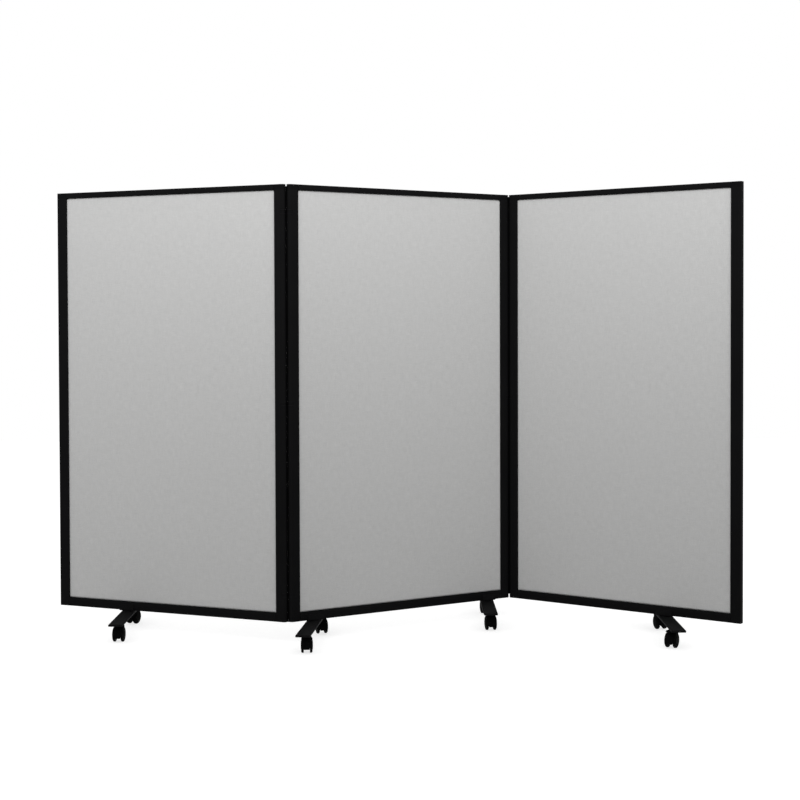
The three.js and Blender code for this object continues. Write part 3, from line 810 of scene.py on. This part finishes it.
def corner_key(bm, face):
    """A small web between the stile and the top rail, near the front or the back face."""
    depth = NOSE - STILE_CROWN - GROOVE_WIDTH / 2
    y = -NOSE + STILE_CROWN if face < 0 else GROOVE_WIDTH / 2
    top = FRAME_TOP - CAP_HEIGHT - MM
    curve = arc(-CORNER_KEY, WINDOW_TOP - CORNER_KEY, CORNER_KEY, 90, 0, 6)
    outline = [(0, top), (-CORNER_KEY, top), *curve]
    rings = [[Vector((x, y + step, z)) for x, z in outline] for step in (0, depth)]
    add_loops(bm, rings)


def cap_mesh(end):
    """The moulded cap that closes a stile's top, with its webs, and the thin one under it."""
    outline = stile_outline(end, grooved=False)
    top = drawn_bar([outline], FRAME_TOP - CAP_HEIGHT, CAP_HEIGHT, CAP_BLACK)
    foot = drawn_bar([outline], FRAME_BOTTOM, FOOT_CAP_HEIGHT, CAP_BLACK)
    webs = bmesh.new()
    for face in (-1, 1):
        corner_key(webs, face)
    return joined([top, foot, mesh_of(webs)])


def rail_outline(face, up):
    """A rail's section: x is depth and y is height, from the window edge away from the window."""
    half, groove = NOSE, GROOVE_WIDTH / 2
    steps = [step / (2 * FACE_STEPS) for step in range(2 * FACE_STEPS + 1)]
    inset = [half - RAIL_CROWN * (2 * share - 1) ** 2 for share in steps]
    front = [(-depth, -face * share) for share, depth in zip(steps, inset)]
    back = [(-x, y) for x, y in reversed(front)]
    slot = [(groove, 0), (groove, -GROOVE_DEPTH), (-groove, -GROOVE_DEPTH), (-groove, 0)]
    outline = front + back + slot
    return [(x, -y) for x, y in reversed(outline)] if up else outline


def rail_mesh(face, window_z, up):
    inside, wall = NOSE - TUBE_WALL - RAIL_CROWN, TUBE_WALL
    near, far = -GROOVE_DEPTH - wall, wall - face
    hollow = box_outline(-inside, inside, far, near, MM / 2)
    if up:
        hollow = box_outline(-inside, inside, -near, -far, MM / 2)
    length = PANEL_WIDTH - 2 * (STILE_FACE + SADDLE_FIT)
    mesh = drawn_bar([rail_outline(face, up), hollow], STILE_FACE + SADDLE_FIT, length, FRAME_BLACK)
    mesh.transform(moved(z=window_z) @ TO_SIDE)
    return mesh


# ---------- Fabric ----------

def stations(low, high, count):
    """Places from low to high, close together just inside the window's two edges."""
    near = [0.0, COVER_INSERT, *(COVER_INSERT + PAD_EDGE * step / 4 for step in (1, 2, 3, 4, 6))]
    start, end = low + near[-1], high - near[-1]
    middle = [start + (end - start) * step / count for step in range(1, count)]
    return [low + reach for reach in near] + middle + [high - reach for reach in reversed(near)]


def lift(x, z, seed):
    """How far the cloth stands off its tucked edges: the soft backing and a slight unevenness."""
    sides = min(x, PANEL_WIDTH - x) - STILE_FACE
    ends = min(z - WINDOW_BOTTOM, WINDOW_TOP - z)
    inside = max(0.0, min(sides, ends))
    share = min(1.0, inside / PAD_EDGE)
    pad = COVER_PAD * share * share * (3 - 2 * share)
    wave = noise.noise(Vector((x * RIPPLES_PER_METRE, z * RIPPLES_PER_METRE, seed)))
    return pad + COVER_RIPPLE * min(1.0, inside / RIPPLE_MARGIN) * wave


def cloth_section():
    """The sleeve's way round the board in plan: (x, side, distance along the cloth)."""
    left, right = STILE_FACE - COVER_INSERT, PANEL_WIDTH - STILE_FACE + COVER_INSERT
    half = COVER_HALF
    start, end = left + half, right - half
    flat = end - start
    fold = math.pi * half
    columns = stations(start, end, CLOTH_COLUMNS)[:-1]
    points = [(x, -half, x - start) for x in columns]
    for step in range(FOLD_STEPS):
        turn = math.pi * step / FOLD_STEPS
        x, y = end + half * math.sin(turn), -half * math.cos(turn)
        points.append((x, y, flat + fold * step / FOLD_STEPS))
    points += [(end + start - x, half, flat + fold + x - start) for x in columns]
    for step in range(FOLD_STEPS):
        turn = math.pi * step / FOLD_STEPS
        x, y = start - half * math.sin(turn), half * math.cos(turn)
        points.append((x, y, 2 * flat + fold + fold * step / FOLD_STEPS))
    return points, 2 * (flat + fold)


def cloth_mesh(seed):
    """The fabric sleeve over a board, with a map in metres of its threads."""
    section, girth = cloth_section()
    low, high = WINDOW_BOTTOM - COVER_INSERT, WINDOW_TOP + COVER_INSERT
    heights = stations(low, high, CLOTH_ROWS)
    bm = bmesh.new()
    thread_map = bm.loops.layers.uv.new("cloth")
    grid = []
    for z in heights:
        row = []
        for x, y, _ in section:
            on_face = abs(abs(y) - COVER_HALF) < MM / 10
            off = math.copysign(lift(x, z, seed), y) if on_face else 0.0
            row.append(bm.verts.new((x, y + off, z)))
        grid.append(row)
    ways = [way for _, _, way in section] + [girth]
    for row, (lower, upper) in enumerate(zip(grid, grid[1:])):
        for column in range(len(section)):
            after = (column + 1) % len(section)
            face = bm.faces.new((lower[column], lower[after], upper[after], upper[column]))
            spots = [(0, 0), (1, 0), (1, 1), (0, 1)]
            for loop, (across, up) in zip(face.loops, spots):
                loop[thread_map].uv = (ways[column + across], heights[row + up])
    return written(bm, "cloth"), girth, high - low


# ---------- Panels ----------


def screw_head():
    """A pan head with a cross recess, 2 units across its base and standing on z = 0."""
    bm = bmesh.new()
    arm, reach, sink = 0.13, 0.62, 0.28
    recess = []
    for quarter in range(4):
        turn = Matrix.Rotation(quarter * math.pi / 2, 3, "Z")
        for x, y in ((reach, -arm), (reach, arm), (arm, arm)):
            recess.append(turn @ Vector((x, y, 0)))
    count = len(recess)
    start = math.atan2(recess[0].y, recess[0].x) - math.radians(5)
    rings = []
    for radius, height in ((1, 0), (1, 0.12), (0.94, 0.34), (0.8, 0.5)):
        angles = [start + 2 * math.pi * step / count for step in range(count)]
        rings.append([(radius * math.cos(a), radius * math.sin(a), height) for a in angles])
    rings.append([(point.x, point.y, 0.54) for point in recess])
    rings.append([(point.x * 0.8, point.y * 0.8, 0.54 - sink) for point in recess])
    add_loops(bm, rings)
    return mesh_of(bm)


SCREW = linked("screw_pattern", screw_head())


def make_stile(panel, side, end):
    place = PANELS[panel]
    if side == "left":
        place = place @ moved(STILE_FACE) @ HALF_TURN
    else:
        place = place @ moved(PANEL_WIDTH - STILE_FACE)
    body, node = f"{panel}_panel", f"{panel}_panel_{side}_stile"
    settle(f"{node}_profile", stile_mesh(end), place, FRAME_BLACK, body, [node])
    settle(f"{node}_caps", cap_mesh(end), place, CAP_BLACK, body, (), CAP_ROUND)


def make_rails(panel):
    place, body = PANELS[panel], f"{panel}_panel"
    top, bottom = FRAME_TOP - WINDOW_TOP, WINDOW_BOTTOM - FRAME_BOTTOM
    for name, face, window_z, up in (
        ("top_rail", top, WINDOW_TOP, True),
        ("bottom_rail", bottom, WINDOW_BOTTOM, False),
    ):
        node, mesh = f"{panel}_panel_{name}", rail_mesh(face, window_z, up)
        settle(f"{node}_profile", mesh, place, FRAME_BLACK, body, [node])


def make_cover(panel, seed):
    mesh, girth, height = cloth_mesh(seed)
    node, body = f"{panel}_panel_fabric_cover", f"{panel}_panel"
    cover = settle(f"{panel}_panel_fabric", mesh, PANELS[panel], CLOTH, body, [node])
    wall = cover.modifiers.new("cloth", "SOLIDIFY")
    wall.thickness = COVER_THICKNESS
    wall.offset = -1
    board = f"{panel}_panel_infill_board"
    frame["nodes"][board].data.materials.clear()
    frame["nodes"][board].data.materials.append(BOARD)


for number, (panel, ends) in enumerate(PANEL_ENDS.items()):
    for side, end in zip(("left", "right"), ends):
        make_stile(panel, side, end)
    make_rails(panel)
    make_cover(panel, number + 1)

# ---------- Hinges ----------


def knuckle_outline():
    """Two round eyes joined by a web."""
    arm = (floor_point("left_hinge_outer") - floor_point("left_hinge_inner")).length / 2
    meet = math.degrees(math.asin(KNUCKLE_WEB / 2 / KNUCKLE_RADIUS))
    right = arc(arm, 0, KNUCKLE_RADIUS, meet - 180, 180 - meet, 36)
    left = arc(-arm, 0, KNUCKLE_RADIUS, meet, 360 - meet, 36)
    return right + left, arm


def filler_mesh(side):
    """The strip in the gap between two stiles. The left one reaches down to the gap's foot."""
    low, high = (corner.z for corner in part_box("left_hinge_link"))
    if side == "left":
        low = FRAME_BOTTOM + FILLER_FOOT
    depth, half = FILLER_DEPTH / 2, FILLER_THICKNESS / 2
    section = box_outline(-half, half, -depth, depth, half * 0.8)
    return drawn_bar([section], low, high - low, HINGE_SHADED_BLACK)


def knuckle_mesh():
    """The links of one hinge, bored for its two pins."""
    outline, arm = knuckle_outline()
    section = [outline, circle(-arm, 0, PIN_BORE), circle(arm, 0, PIN_BORE)]
    return joined(
        [drawn_bar(section, z - KNUCKLE_HEIGHT / 2, KNUCKLE_HEIGHT, FRAME_BLACK) for z in KNUCKLES]
    )


def pin_mesh():
    low, high = (corner.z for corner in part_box("left_hinge_inner_pin"))
    tip = PIN_RADIUS - PIN_CHAMFER
    profile = [
        (0, low), (tip, low), (PIN_RADIUS, low + PIN_CHAMFER),
        (PIN_RADIUS, high - PIN_CHAMFER), (tip, high), (0, high),
    ]
    bm = bmesh.new()
    add_lathe(bm, profile, 24)
    return mesh_of(bm)


def make_hinge(side):
    body, node, place = f"{side}_link", f"{side}_hinge_link", link_place(side)
    slot, eyes = "hinge_plastic", knuckle_mesh()
    settle(f"{side}_hinge_filler", filler_mesh(side), place, HINGE_SHADED_BLACK, body, [node])
    settle(f"{side}_hinge_knuckles", eyes, place, FRAME_BLACK, body, (), KNUCKLE_EDGE)
    for which in ("inner", "outer"):
        node = f"{side}_hinge_{which}_pin"
        place = Matrix.Translation(floor_point(f"{side}_hinge_{which}"))
        settle(f"{node}_rod", pin_mesh(), place, STEEL, body, [node])


for side in ("left", "right"):
    make_hinge(side)

# ---------- Feet ----------


def saddle_mesh():
    """A bent U of plate under the rail, with the round boss the crossbar turns under."""
    outer = NOSE + SADDLE_FIT + SADDLE_PLATE
    inner = outer - SADDLE_PLATE
    base, top = FRAME_BOTTOM - SADDLE_FIT - SADDLE_PLATE, FRAME_BOTTOM + SADDLE_RISE
    bend, tight = SADDLE_BEND, SADDLE_BEND - SADDLE_PLATE
    section = rounded([
        (-outer, base, bend), (outer, base, bend), (outer, top, 0), (inner, top, 0),
        (inner, base + SADDLE_PLATE, tight), (-inner, base + SADDLE_PLATE, tight),
        (-inner, top, 0), (-outer, top, 0),
    ])
    half = SADDLE_WIDTH / 2
    plate = drawn_bar([section], -half, SADDLE_WIDTH, FOOT_BLACK)
    plate.transform(TO_SIDE)
    blank = rounded([
        (-half, base - MM, 0), (half, base - MM, 0),
        (half, top, SADDLE_CORNER), (-half, top, SADDLE_CORNER),
    ])
    bm = bmesh.new()
    add_loops(bm, [[Vector((x, y, z)) for x, z in blank] for y in (-2 * outer, 2 * outer)])
    plate = shaped(plate, mesh_of(bm), "INTERSECT")
    boss_bottom, edge = CROSSBAR_TOP + SADDLE_FIT, 0.5 * MM
    profile = [
        (0, boss_bottom), (BOSS_RADIUS - edge, boss_bottom), (BOSS_RADIUS, boss_bottom + edge),
        (BOSS_RADIUS, base), (0, base),
    ]
    boss = bmesh.new()
    add_lathe(boss, profile, 48)
    return joined([plate, mesh_of(boss)]), base


def swivel_mesh(base):
    """The bolt, washer and hexagonal nut on the saddle's axis."""
    nut_top = CROSSBAR_BOTTOM - SADDLE_FIT
    tip = nut_top - NUT_HEIGHT - BOLT_TIP
    bm = bmesh.new()
    add_rod(bm, BOLT_RADIUS, nut_top - NUT_HEIGHT / 2, base, 24)
    profile = [
        (0, tip), (BOLT_RADIUS - MM, tip), (BOLT_RADIUS, tip + MM),
        (BOLT_RADIUS, nut_top), (0, nut_top),
    ]
    add_lathe(bm, profile, 24)
    add_rod(bm, NUT_RADIUS + WASHER_REACH, nut_top - MM, nut_top, 36)
    add_prism(bm, circle(0, 0, NUT_RADIUS, 6), nut_top - NUT_HEIGHT, NUT_HEIGHT - MM)
    return mesh_of(bm)


def crossbar_mesh():
    """A flat bar with a soft edge round its top and a hole for the swivel's bolt."""
    low, high = CROSSBAR_BOTTOM, CROSSBAR_TOP
    front = floor_point("left_foot_front_caster_swivel")
    rear = floor_point("left_foot_rear_caster_swivel")
    length = (rear - front).length + 2 * CASTER_INSET
    burr = 0.6 * MM
    steps = [(burr, low), (0, low + burr)]
    for share, rise in arc(0, 0, 1, 0, 90, 6):
        steps.append((CROSSBAR_EDGE_WIDTH * (1 - share), high - CROSSBAR_EDGE_DROP * (1 - rise)))
    bm = bmesh.new()
    rings = []
    for inset, z in steps:
        x, y = CROSSBAR_WIDTH / 2 - inset, length / 2 - inset
        corner = max(CROSSBAR_CORNER - inset, MM)
        rings.append([Vector((*point, z)) for point in box_outline(-x, x, -y, y, corner)])
    add_loops(bm, rings)
    bore = bmesh.new()
    add_prism(bore, circle(0, 0, BOLT_RADIUS + BOLT_PLAY), low - MM, high - low + 2 * MM)
    return shaped(mesh_of(bm), mesh_of(bore), "DIFFERENCE")


def make_foot(foot):
    panel = FOOT_PANEL[foot]
    plate, base = saddle_mesh()
    place = PANELS[panel].copy()
    place.translation = floor_point(f"{foot}_foot_swivel")
    node, body = f"{foot}_foot_saddle", f"{panel}_panel"
    settle(f"{node}_bracket", plate, place, FOOT_BLACK, body, [node], SADDLE_EDGE)
    bolt = swivel_mesh(base)
    settle(f"{node}_swivel_bolt", bolt, place, ZINC, body, (), BOLT_EDGE)
    node, bar = f"{foot}_foot_crossbar", crossbar_mesh()
    settle(f"{node}_bar", bar, foot_place(foot), FOOT_BLACK, f"{foot}_foot", [node])


# ---------- Casters ----------


def around_axle(radius, angle):
    """A point in a caster's side view, as (y, z)."""
    turn = math.radians(angle)
    return TRAIL + radius * math.cos(turn), AXLE_HEIGHT + radius * math.sin(turn)


def fender_mesh():
    """The hood's roof over both wheels: a rounded band, swept round the axle."""
    half, drop = FENDER_WIDTH / 2, FENDER_ROUND
    band = [(half, WELL_RADIUS)]
    for x, y in arc(0, 0, 1, 0, 90, 7):
        band.append((half - FENDER_SHOULDER * (1 - x), HOOD_RADIUS - drop * (1 - y)))
    band += [(-x, radius) for x, radius in reversed(band)]
    start, end = FENDER_ANGLES
    steps = 26
    rings = []
    for step in range(steps + 1):
        angle = start + (end - start) * step / steps
        ring = []
        for x, radius in band:
            y, z = around_axle(radius, angle)
            ring.append(Vector((x, y, z)))
        rings.append(ring)
    bm = bmesh.new()
    add_loops(bm, rings)
    return mesh_of(bm)


def hood_mesh():
    """The web between the wheels, under the roof."""
    start, end = HOOD_ANGLES
    radius = HOOD_RADIUS - 0.2 * MM
    arc_points = [around_axle(radius, start + (end - start) * step / 30) for step in range(31)]
    half = HOOD_WIDTH / 2
    bm = bmesh.new()
    rings = [[Vector((x, y, z)) for y, z in arc_points] for x in (-half, half)]
    add_loops(bm, rings)
    return mesh_of(bm)


def neck_mesh(has_pedal):
    """The neck and stem, the wheels' axle in its boss, and two ears where there is a pedal."""
    low, spread = AXLE_HEIGHT + 14 * MM, AXLE_HEIGHT + 25.5 * MM
    neck = [
        (0, low), (NECK_FLARE, low), (NECK_FLARE, spread),
        (NECK_RADIUS + 0.6 * MM, spread + 2.2 * MM), (NECK_RADIUS, spread + 5 * MM),
        (NECK_RADIUS, NECK_TOP - NECK_COLLAR), (NECK_RADIUS - NECK_COLLAR, NECK_TOP), (0, NECK_TOP),
    ]
    bm = bmesh.new()
    add_lathe(bm, neck, 40)
    add_rod(bm, STEM_RADIUS, NECK_TOP - MM, NECK_TOP + STEM_RISE, 24)
    half, flat = HOOD_WIDTH / 2, HUB_BOSS_RADIUS - HUB_BOSS_ROUND
    boss = [
        (0, -half), (flat, -half), (HUB_BOSS_RADIUS, HUB_BOSS_ROUND - half),
        (HUB_BOSS_RADIUS, half - HUB_BOSS_ROUND), (flat, half), (0, half),
    ]
    add_lathe(bm, boss, 32, AXLE_PLACE @ ACROSS)
    reach = WHEEL_INNER_FACE + WHEEL_WIDTH - AXLE_SINK
    add_rod(bm, AXLE_RADIUS, -reach, reach, 20, AXLE_PLACE @ ACROSS)
    if has_pedal:
        for sign in (-1, 1):
            add_cheek(bm, sign)
    return mesh_of(bm)


def add_cheek(bm, sign):
    """An ear that carries the pedal's pin."""
    near = PEDAL_ROOT_WIDTH / 2 + CHEEK_GAP
    x0, x1 = sorted((sign * near, sign * (near + CHEEK_THICKNESS)))
    bottom = AXLE_HEIGHT + WELL_RADIUS
    radius = NECK_TOP - PIVOT_HEIGHT
    outline = [(0, bottom), (PIVOT_BACK - 2 * MM, bottom - 2 * MM)]
    outline += arc(PIVOT_BACK, PIVOT_HEIGHT, radius - 0.2 * MM, -70, 90, 10)
    outline += [(0, NECK_TOP - 0.2 * MM)]
    add_loops(bm, [[Vector((x, y, z)) for y, z in outline] for x in (x0, x1)])


def caster_mesh(has_pedal):
    return joined([fender_mesh(), hood_mesh(), neck_mesh(has_pedal)])


def wheel_mesh():
    """One wheel of the pair: a turned disc with a rim, a sunk ring and a domed hub."""
    rim, width, soft = WHEEL_RADIUS, WHEEL_WIDTH, 1.2 * MM
    bore, bore_end = AXLE_RADIUS + 0.3 * MM, WHEEL_WIDTH - 2.5 * MM
    profile = [
        (0, bore_end), (bore, bore_end), (bore, 0),
        (rim - 4 * MM, 0), (rim - soft, 0.1 * MM), (rim, soft),
    ]
    profile += [(rim - inset * MM, width - sink * MM) for inset, sink in WHEEL_FACE]
    bm = bmesh.new()
    add_lathe(bm, [*profile, (0, width)], 56, ACROSS)
    return mesh_of(bm)


# ---------- Brake pedals ----------


def pedal_mesh():
    """A lever on its pin: barrel, root and a wider tread with grip ribs."""
    half = PEDAL_THICKNESS / 2
    end = PIVOT_BACK + PEDAL_LENGTH
    neck = end - PEDAL_TREAD_LENGTH
    shoulder = neck + PEDAL_SHOULDER
    root, tread = PEDAL_ROOT_WIDTH / 2, PEDAL_TREAD_WIDTH / 2
    outline = rounded([
        (-root, PIVOT_BACK, 0), (root, PIVOT_BACK, 0),
        (root, neck, PEDAL_CORNER), (tread, shoulder, PEDAL_CORNER),
        (tread, end, PEDAL_TIP_CORNER), (-tread, end, PEDAL_TIP_CORNER),
        (-tread, shoulder, PEDAL_CORNER), (-root, neck, PEDAL_CORNER),
    ])
    bm = bmesh.new()
    add_prism(bm, outline, PIVOT_HEIGHT - half, PEDAL_THICKNESS)
    side = tread - 3 * MM
    for rib in range(RIB_COUNT):
        y = neck + 6 * MM + rib * RIB_PITCH
        ridge = box_outline(-side, side, y - RIB_HALF, y + RIB_HALF, 0.5 * MM)
        add_prism(bm, ridge, PIVOT_HEIGHT, half + 0.6 * MM)
    add_rod(bm, PEDAL_BARREL, -root, root, 24, moved(0, PIVOT_BACK, PIVOT_HEIGHT) @ ACROSS)
    return mesh_of(bm)


def make_caster(caster, has_pedal):
    place, slot = caster_place(caster), "caster_plastic"
    body, hood = f"{caster}_body", caster_mesh(has_pedal)
    settle(f"{caster}_hood", hood, place, NYLON, caster, [body], CASTER_EDGE)
    for side, sign in (("left", -1), ("right", 1)):
        turn = HALF_TURN if sign < 0 else UPRIGHT
        axle = place @ moved(sign * WHEEL_INNER_FACE, TRAIL, AXLE_HEIGHT) @ turn
        wheel = f"{caster}_{side}_wheel"
        settle(f"{wheel}_disc", wheel_mesh(), axle, WHEEL_BLACK, wheel, [wheel])
    if has_pedal:
        node, lever = f"{caster}_brake_pedal", pedal_mesh()
        settle(f"{node}_lever", lever, place, NYLON, f"{caster}_pedal", [node], PEDAL_EDGE)


for foot in FOOT_PANEL:
    make_foot(foot)
    make_caster(f"{foot}_foot_front_caster", True)
    make_caster(f"{foot}_foot_rear_caster", False)

# ---------- Screws ----------

def make_screws():
    """Two screws behind each saddle, and the small one low in the left filler strip."""
    spot = Vector((0, -FILLER_DEPTH / 2, FRAME_BOTTOM + FILLER_SCREW_RISE))
    mesh = small_parts([(spot, (0, -1, 0))], SCREW, ZINC, FILLER_SCREW_RADIUS)
    settle("left_filler_screw", mesh, link_place("left"), ZINC, "left_link")
    head_places = {}
    for foot, panel in FOOT_PANEL.items():
        along = PANELS[panel].inverted() @ floor_point(f"{foot}_foot_swivel")
        depth = NOSE + SADDLE_FIT + SADDLE_PLATE - SADDLE_SCREW_SINK
        for offset in (-SADDLE_SCREW_SPREAD, SADDLE_SCREW_SPREAD):
            spot = (along.x + offset, depth, FRAME_BOTTOM + SADDLE_SCREW_RISE)
            head_places.setdefault(panel, []).append((spot, (0, 1, 0)))
    for panel, places in head_places.items():
        body, mesh = f"{panel}_panel", small_parts(places, SCREW, ZINC, SCREW_RADIUS)
        settle(f"{body}_screws", mesh, PANELS[panel], ZINC, body)


make_screws()
bpy.data.objects.remove(SCREW)

# ---------- Floor, light and camera ----------


def seen_directly(tree):
    """1 for a ray that shows a surface as it is: from the camera, a gloss or through glass."""
    rays = add_node(tree, "ShaderNodeLightPath").outputs
    seen = add_maths(tree, "MAXIMUM", rays["Is Camera Ray"], rays["Is Glossy Ray"])
    return add_maths(tree, "MAXIMUM", seen, rays["Is Transmission Ray"])


def studio_floor():
    """A pale floor that reads as white to the eye and keeps the soft shadow on it."""
    size = FLOOR_SIZE
    bm = bmesh.new()
    bm.faces.new([bm.verts.new((x, y, 0)) for x, y in box_outline(-size, size, -size, size)])
    mesh = written(bm, "studio_floor")
    floor = linked("studio_floor", mesh)
    material = bpy.data.materials.new("pale_floor")
    material.use_nodes = True
    tree = material.node_tree
    tree.nodes.clear()
    lift = add_maths(tree, "MULTIPLY", seen_directly(tree), FLOOR_LIFT)
    glow = add_node(tree, "ShaderNodeEmission", Strength=lift)
    matt = add_node(tree, "ShaderNodeBsdfDiffuse", Color=(FLOOR_TONE, FLOOR_TONE, FLOOR_TONE, 1))
    both = add_node(tree, "ShaderNodeAddShader")
    tree.links.new(glow.outputs[0], both.inputs[0])
    tree.links.new(matt.outputs[0], both.inputs[1])
    add_node(tree, "ShaderNodeOutputMaterial", Surface=both.outputs[0])
    mesh.materials.append(material)


def studio_world():
    """White behind the partition, and a softer grey as the light that fills the shadows."""
    world = bpy.data.worlds.new("studio")
    bpy.context.scene.world = world
    world.use_nodes = True
    tree = world.node_tree
    tree.nodes.clear()
    fill = add_node(tree, "ShaderNodeBackground", Color=(1, 1, 1, 1), Strength=FILL_LEVEL)
    white = add_node(tree, "ShaderNodeBackground", Color=(1, 1, 1, 1), Strength=1.0)
    mix = add_node(tree, "ShaderNodeMixShader", Fac=seen_directly(tree))
    tree.links.new(fill.outputs[0], mix.inputs[1])
    tree.links.new(white.outputs[0], mix.inputs[2])
    add_node(tree, "ShaderNodeOutputWorld", Surface=mix.outputs[0])


def soft_box(name, place, target, width, height, power):
    """A rectangular light at place that faces target."""
    light = bpy.data.lights.new(name, "AREA")
    light.shape = "RECTANGLE"
    light.size, light.size_y = width, height
    light.energy = power
    lamp = linked(name, light)
    lamp.location = place
    lamp.visible_camera = False
    lamp.rotation_euler = (Vector(target) - Vector(place)).to_track_quat("-Z", "Y").to_euler()


def photograph_camera():
    """The photograph's view: eye height, lens, a slight downward pitch, a shift and some roll."""
    data = bpy.data.cameras.new("camera")
    data.sensor_width = 36
    data.lens = CAMERA_LENS
    data.shift_y = CAMERA_SHIFT_UP
    camera = linked("camera", data)
    pitch = Matrix.Rotation(math.radians(90 - CAMERA_PITCH_DOWN), 4, "X")
    roll = Matrix.Rotation(math.radians(CAMERA_ROLL), 4, "Z")
    camera.matrix_world = Matrix.Translation(CAMERA_PLACE) @ pitch @ roll
    bpy.context.scene.camera = camera

studio_floor()
studio_world()
soft_box(
    "front_soft_box", place=(0, -1.9, 2.2), target=(0, 0, 3.05), width=7.0, height=0.8, power=68
)
photograph_camera()
bpy.context.scene.view_settings.view_transform = "Standard"
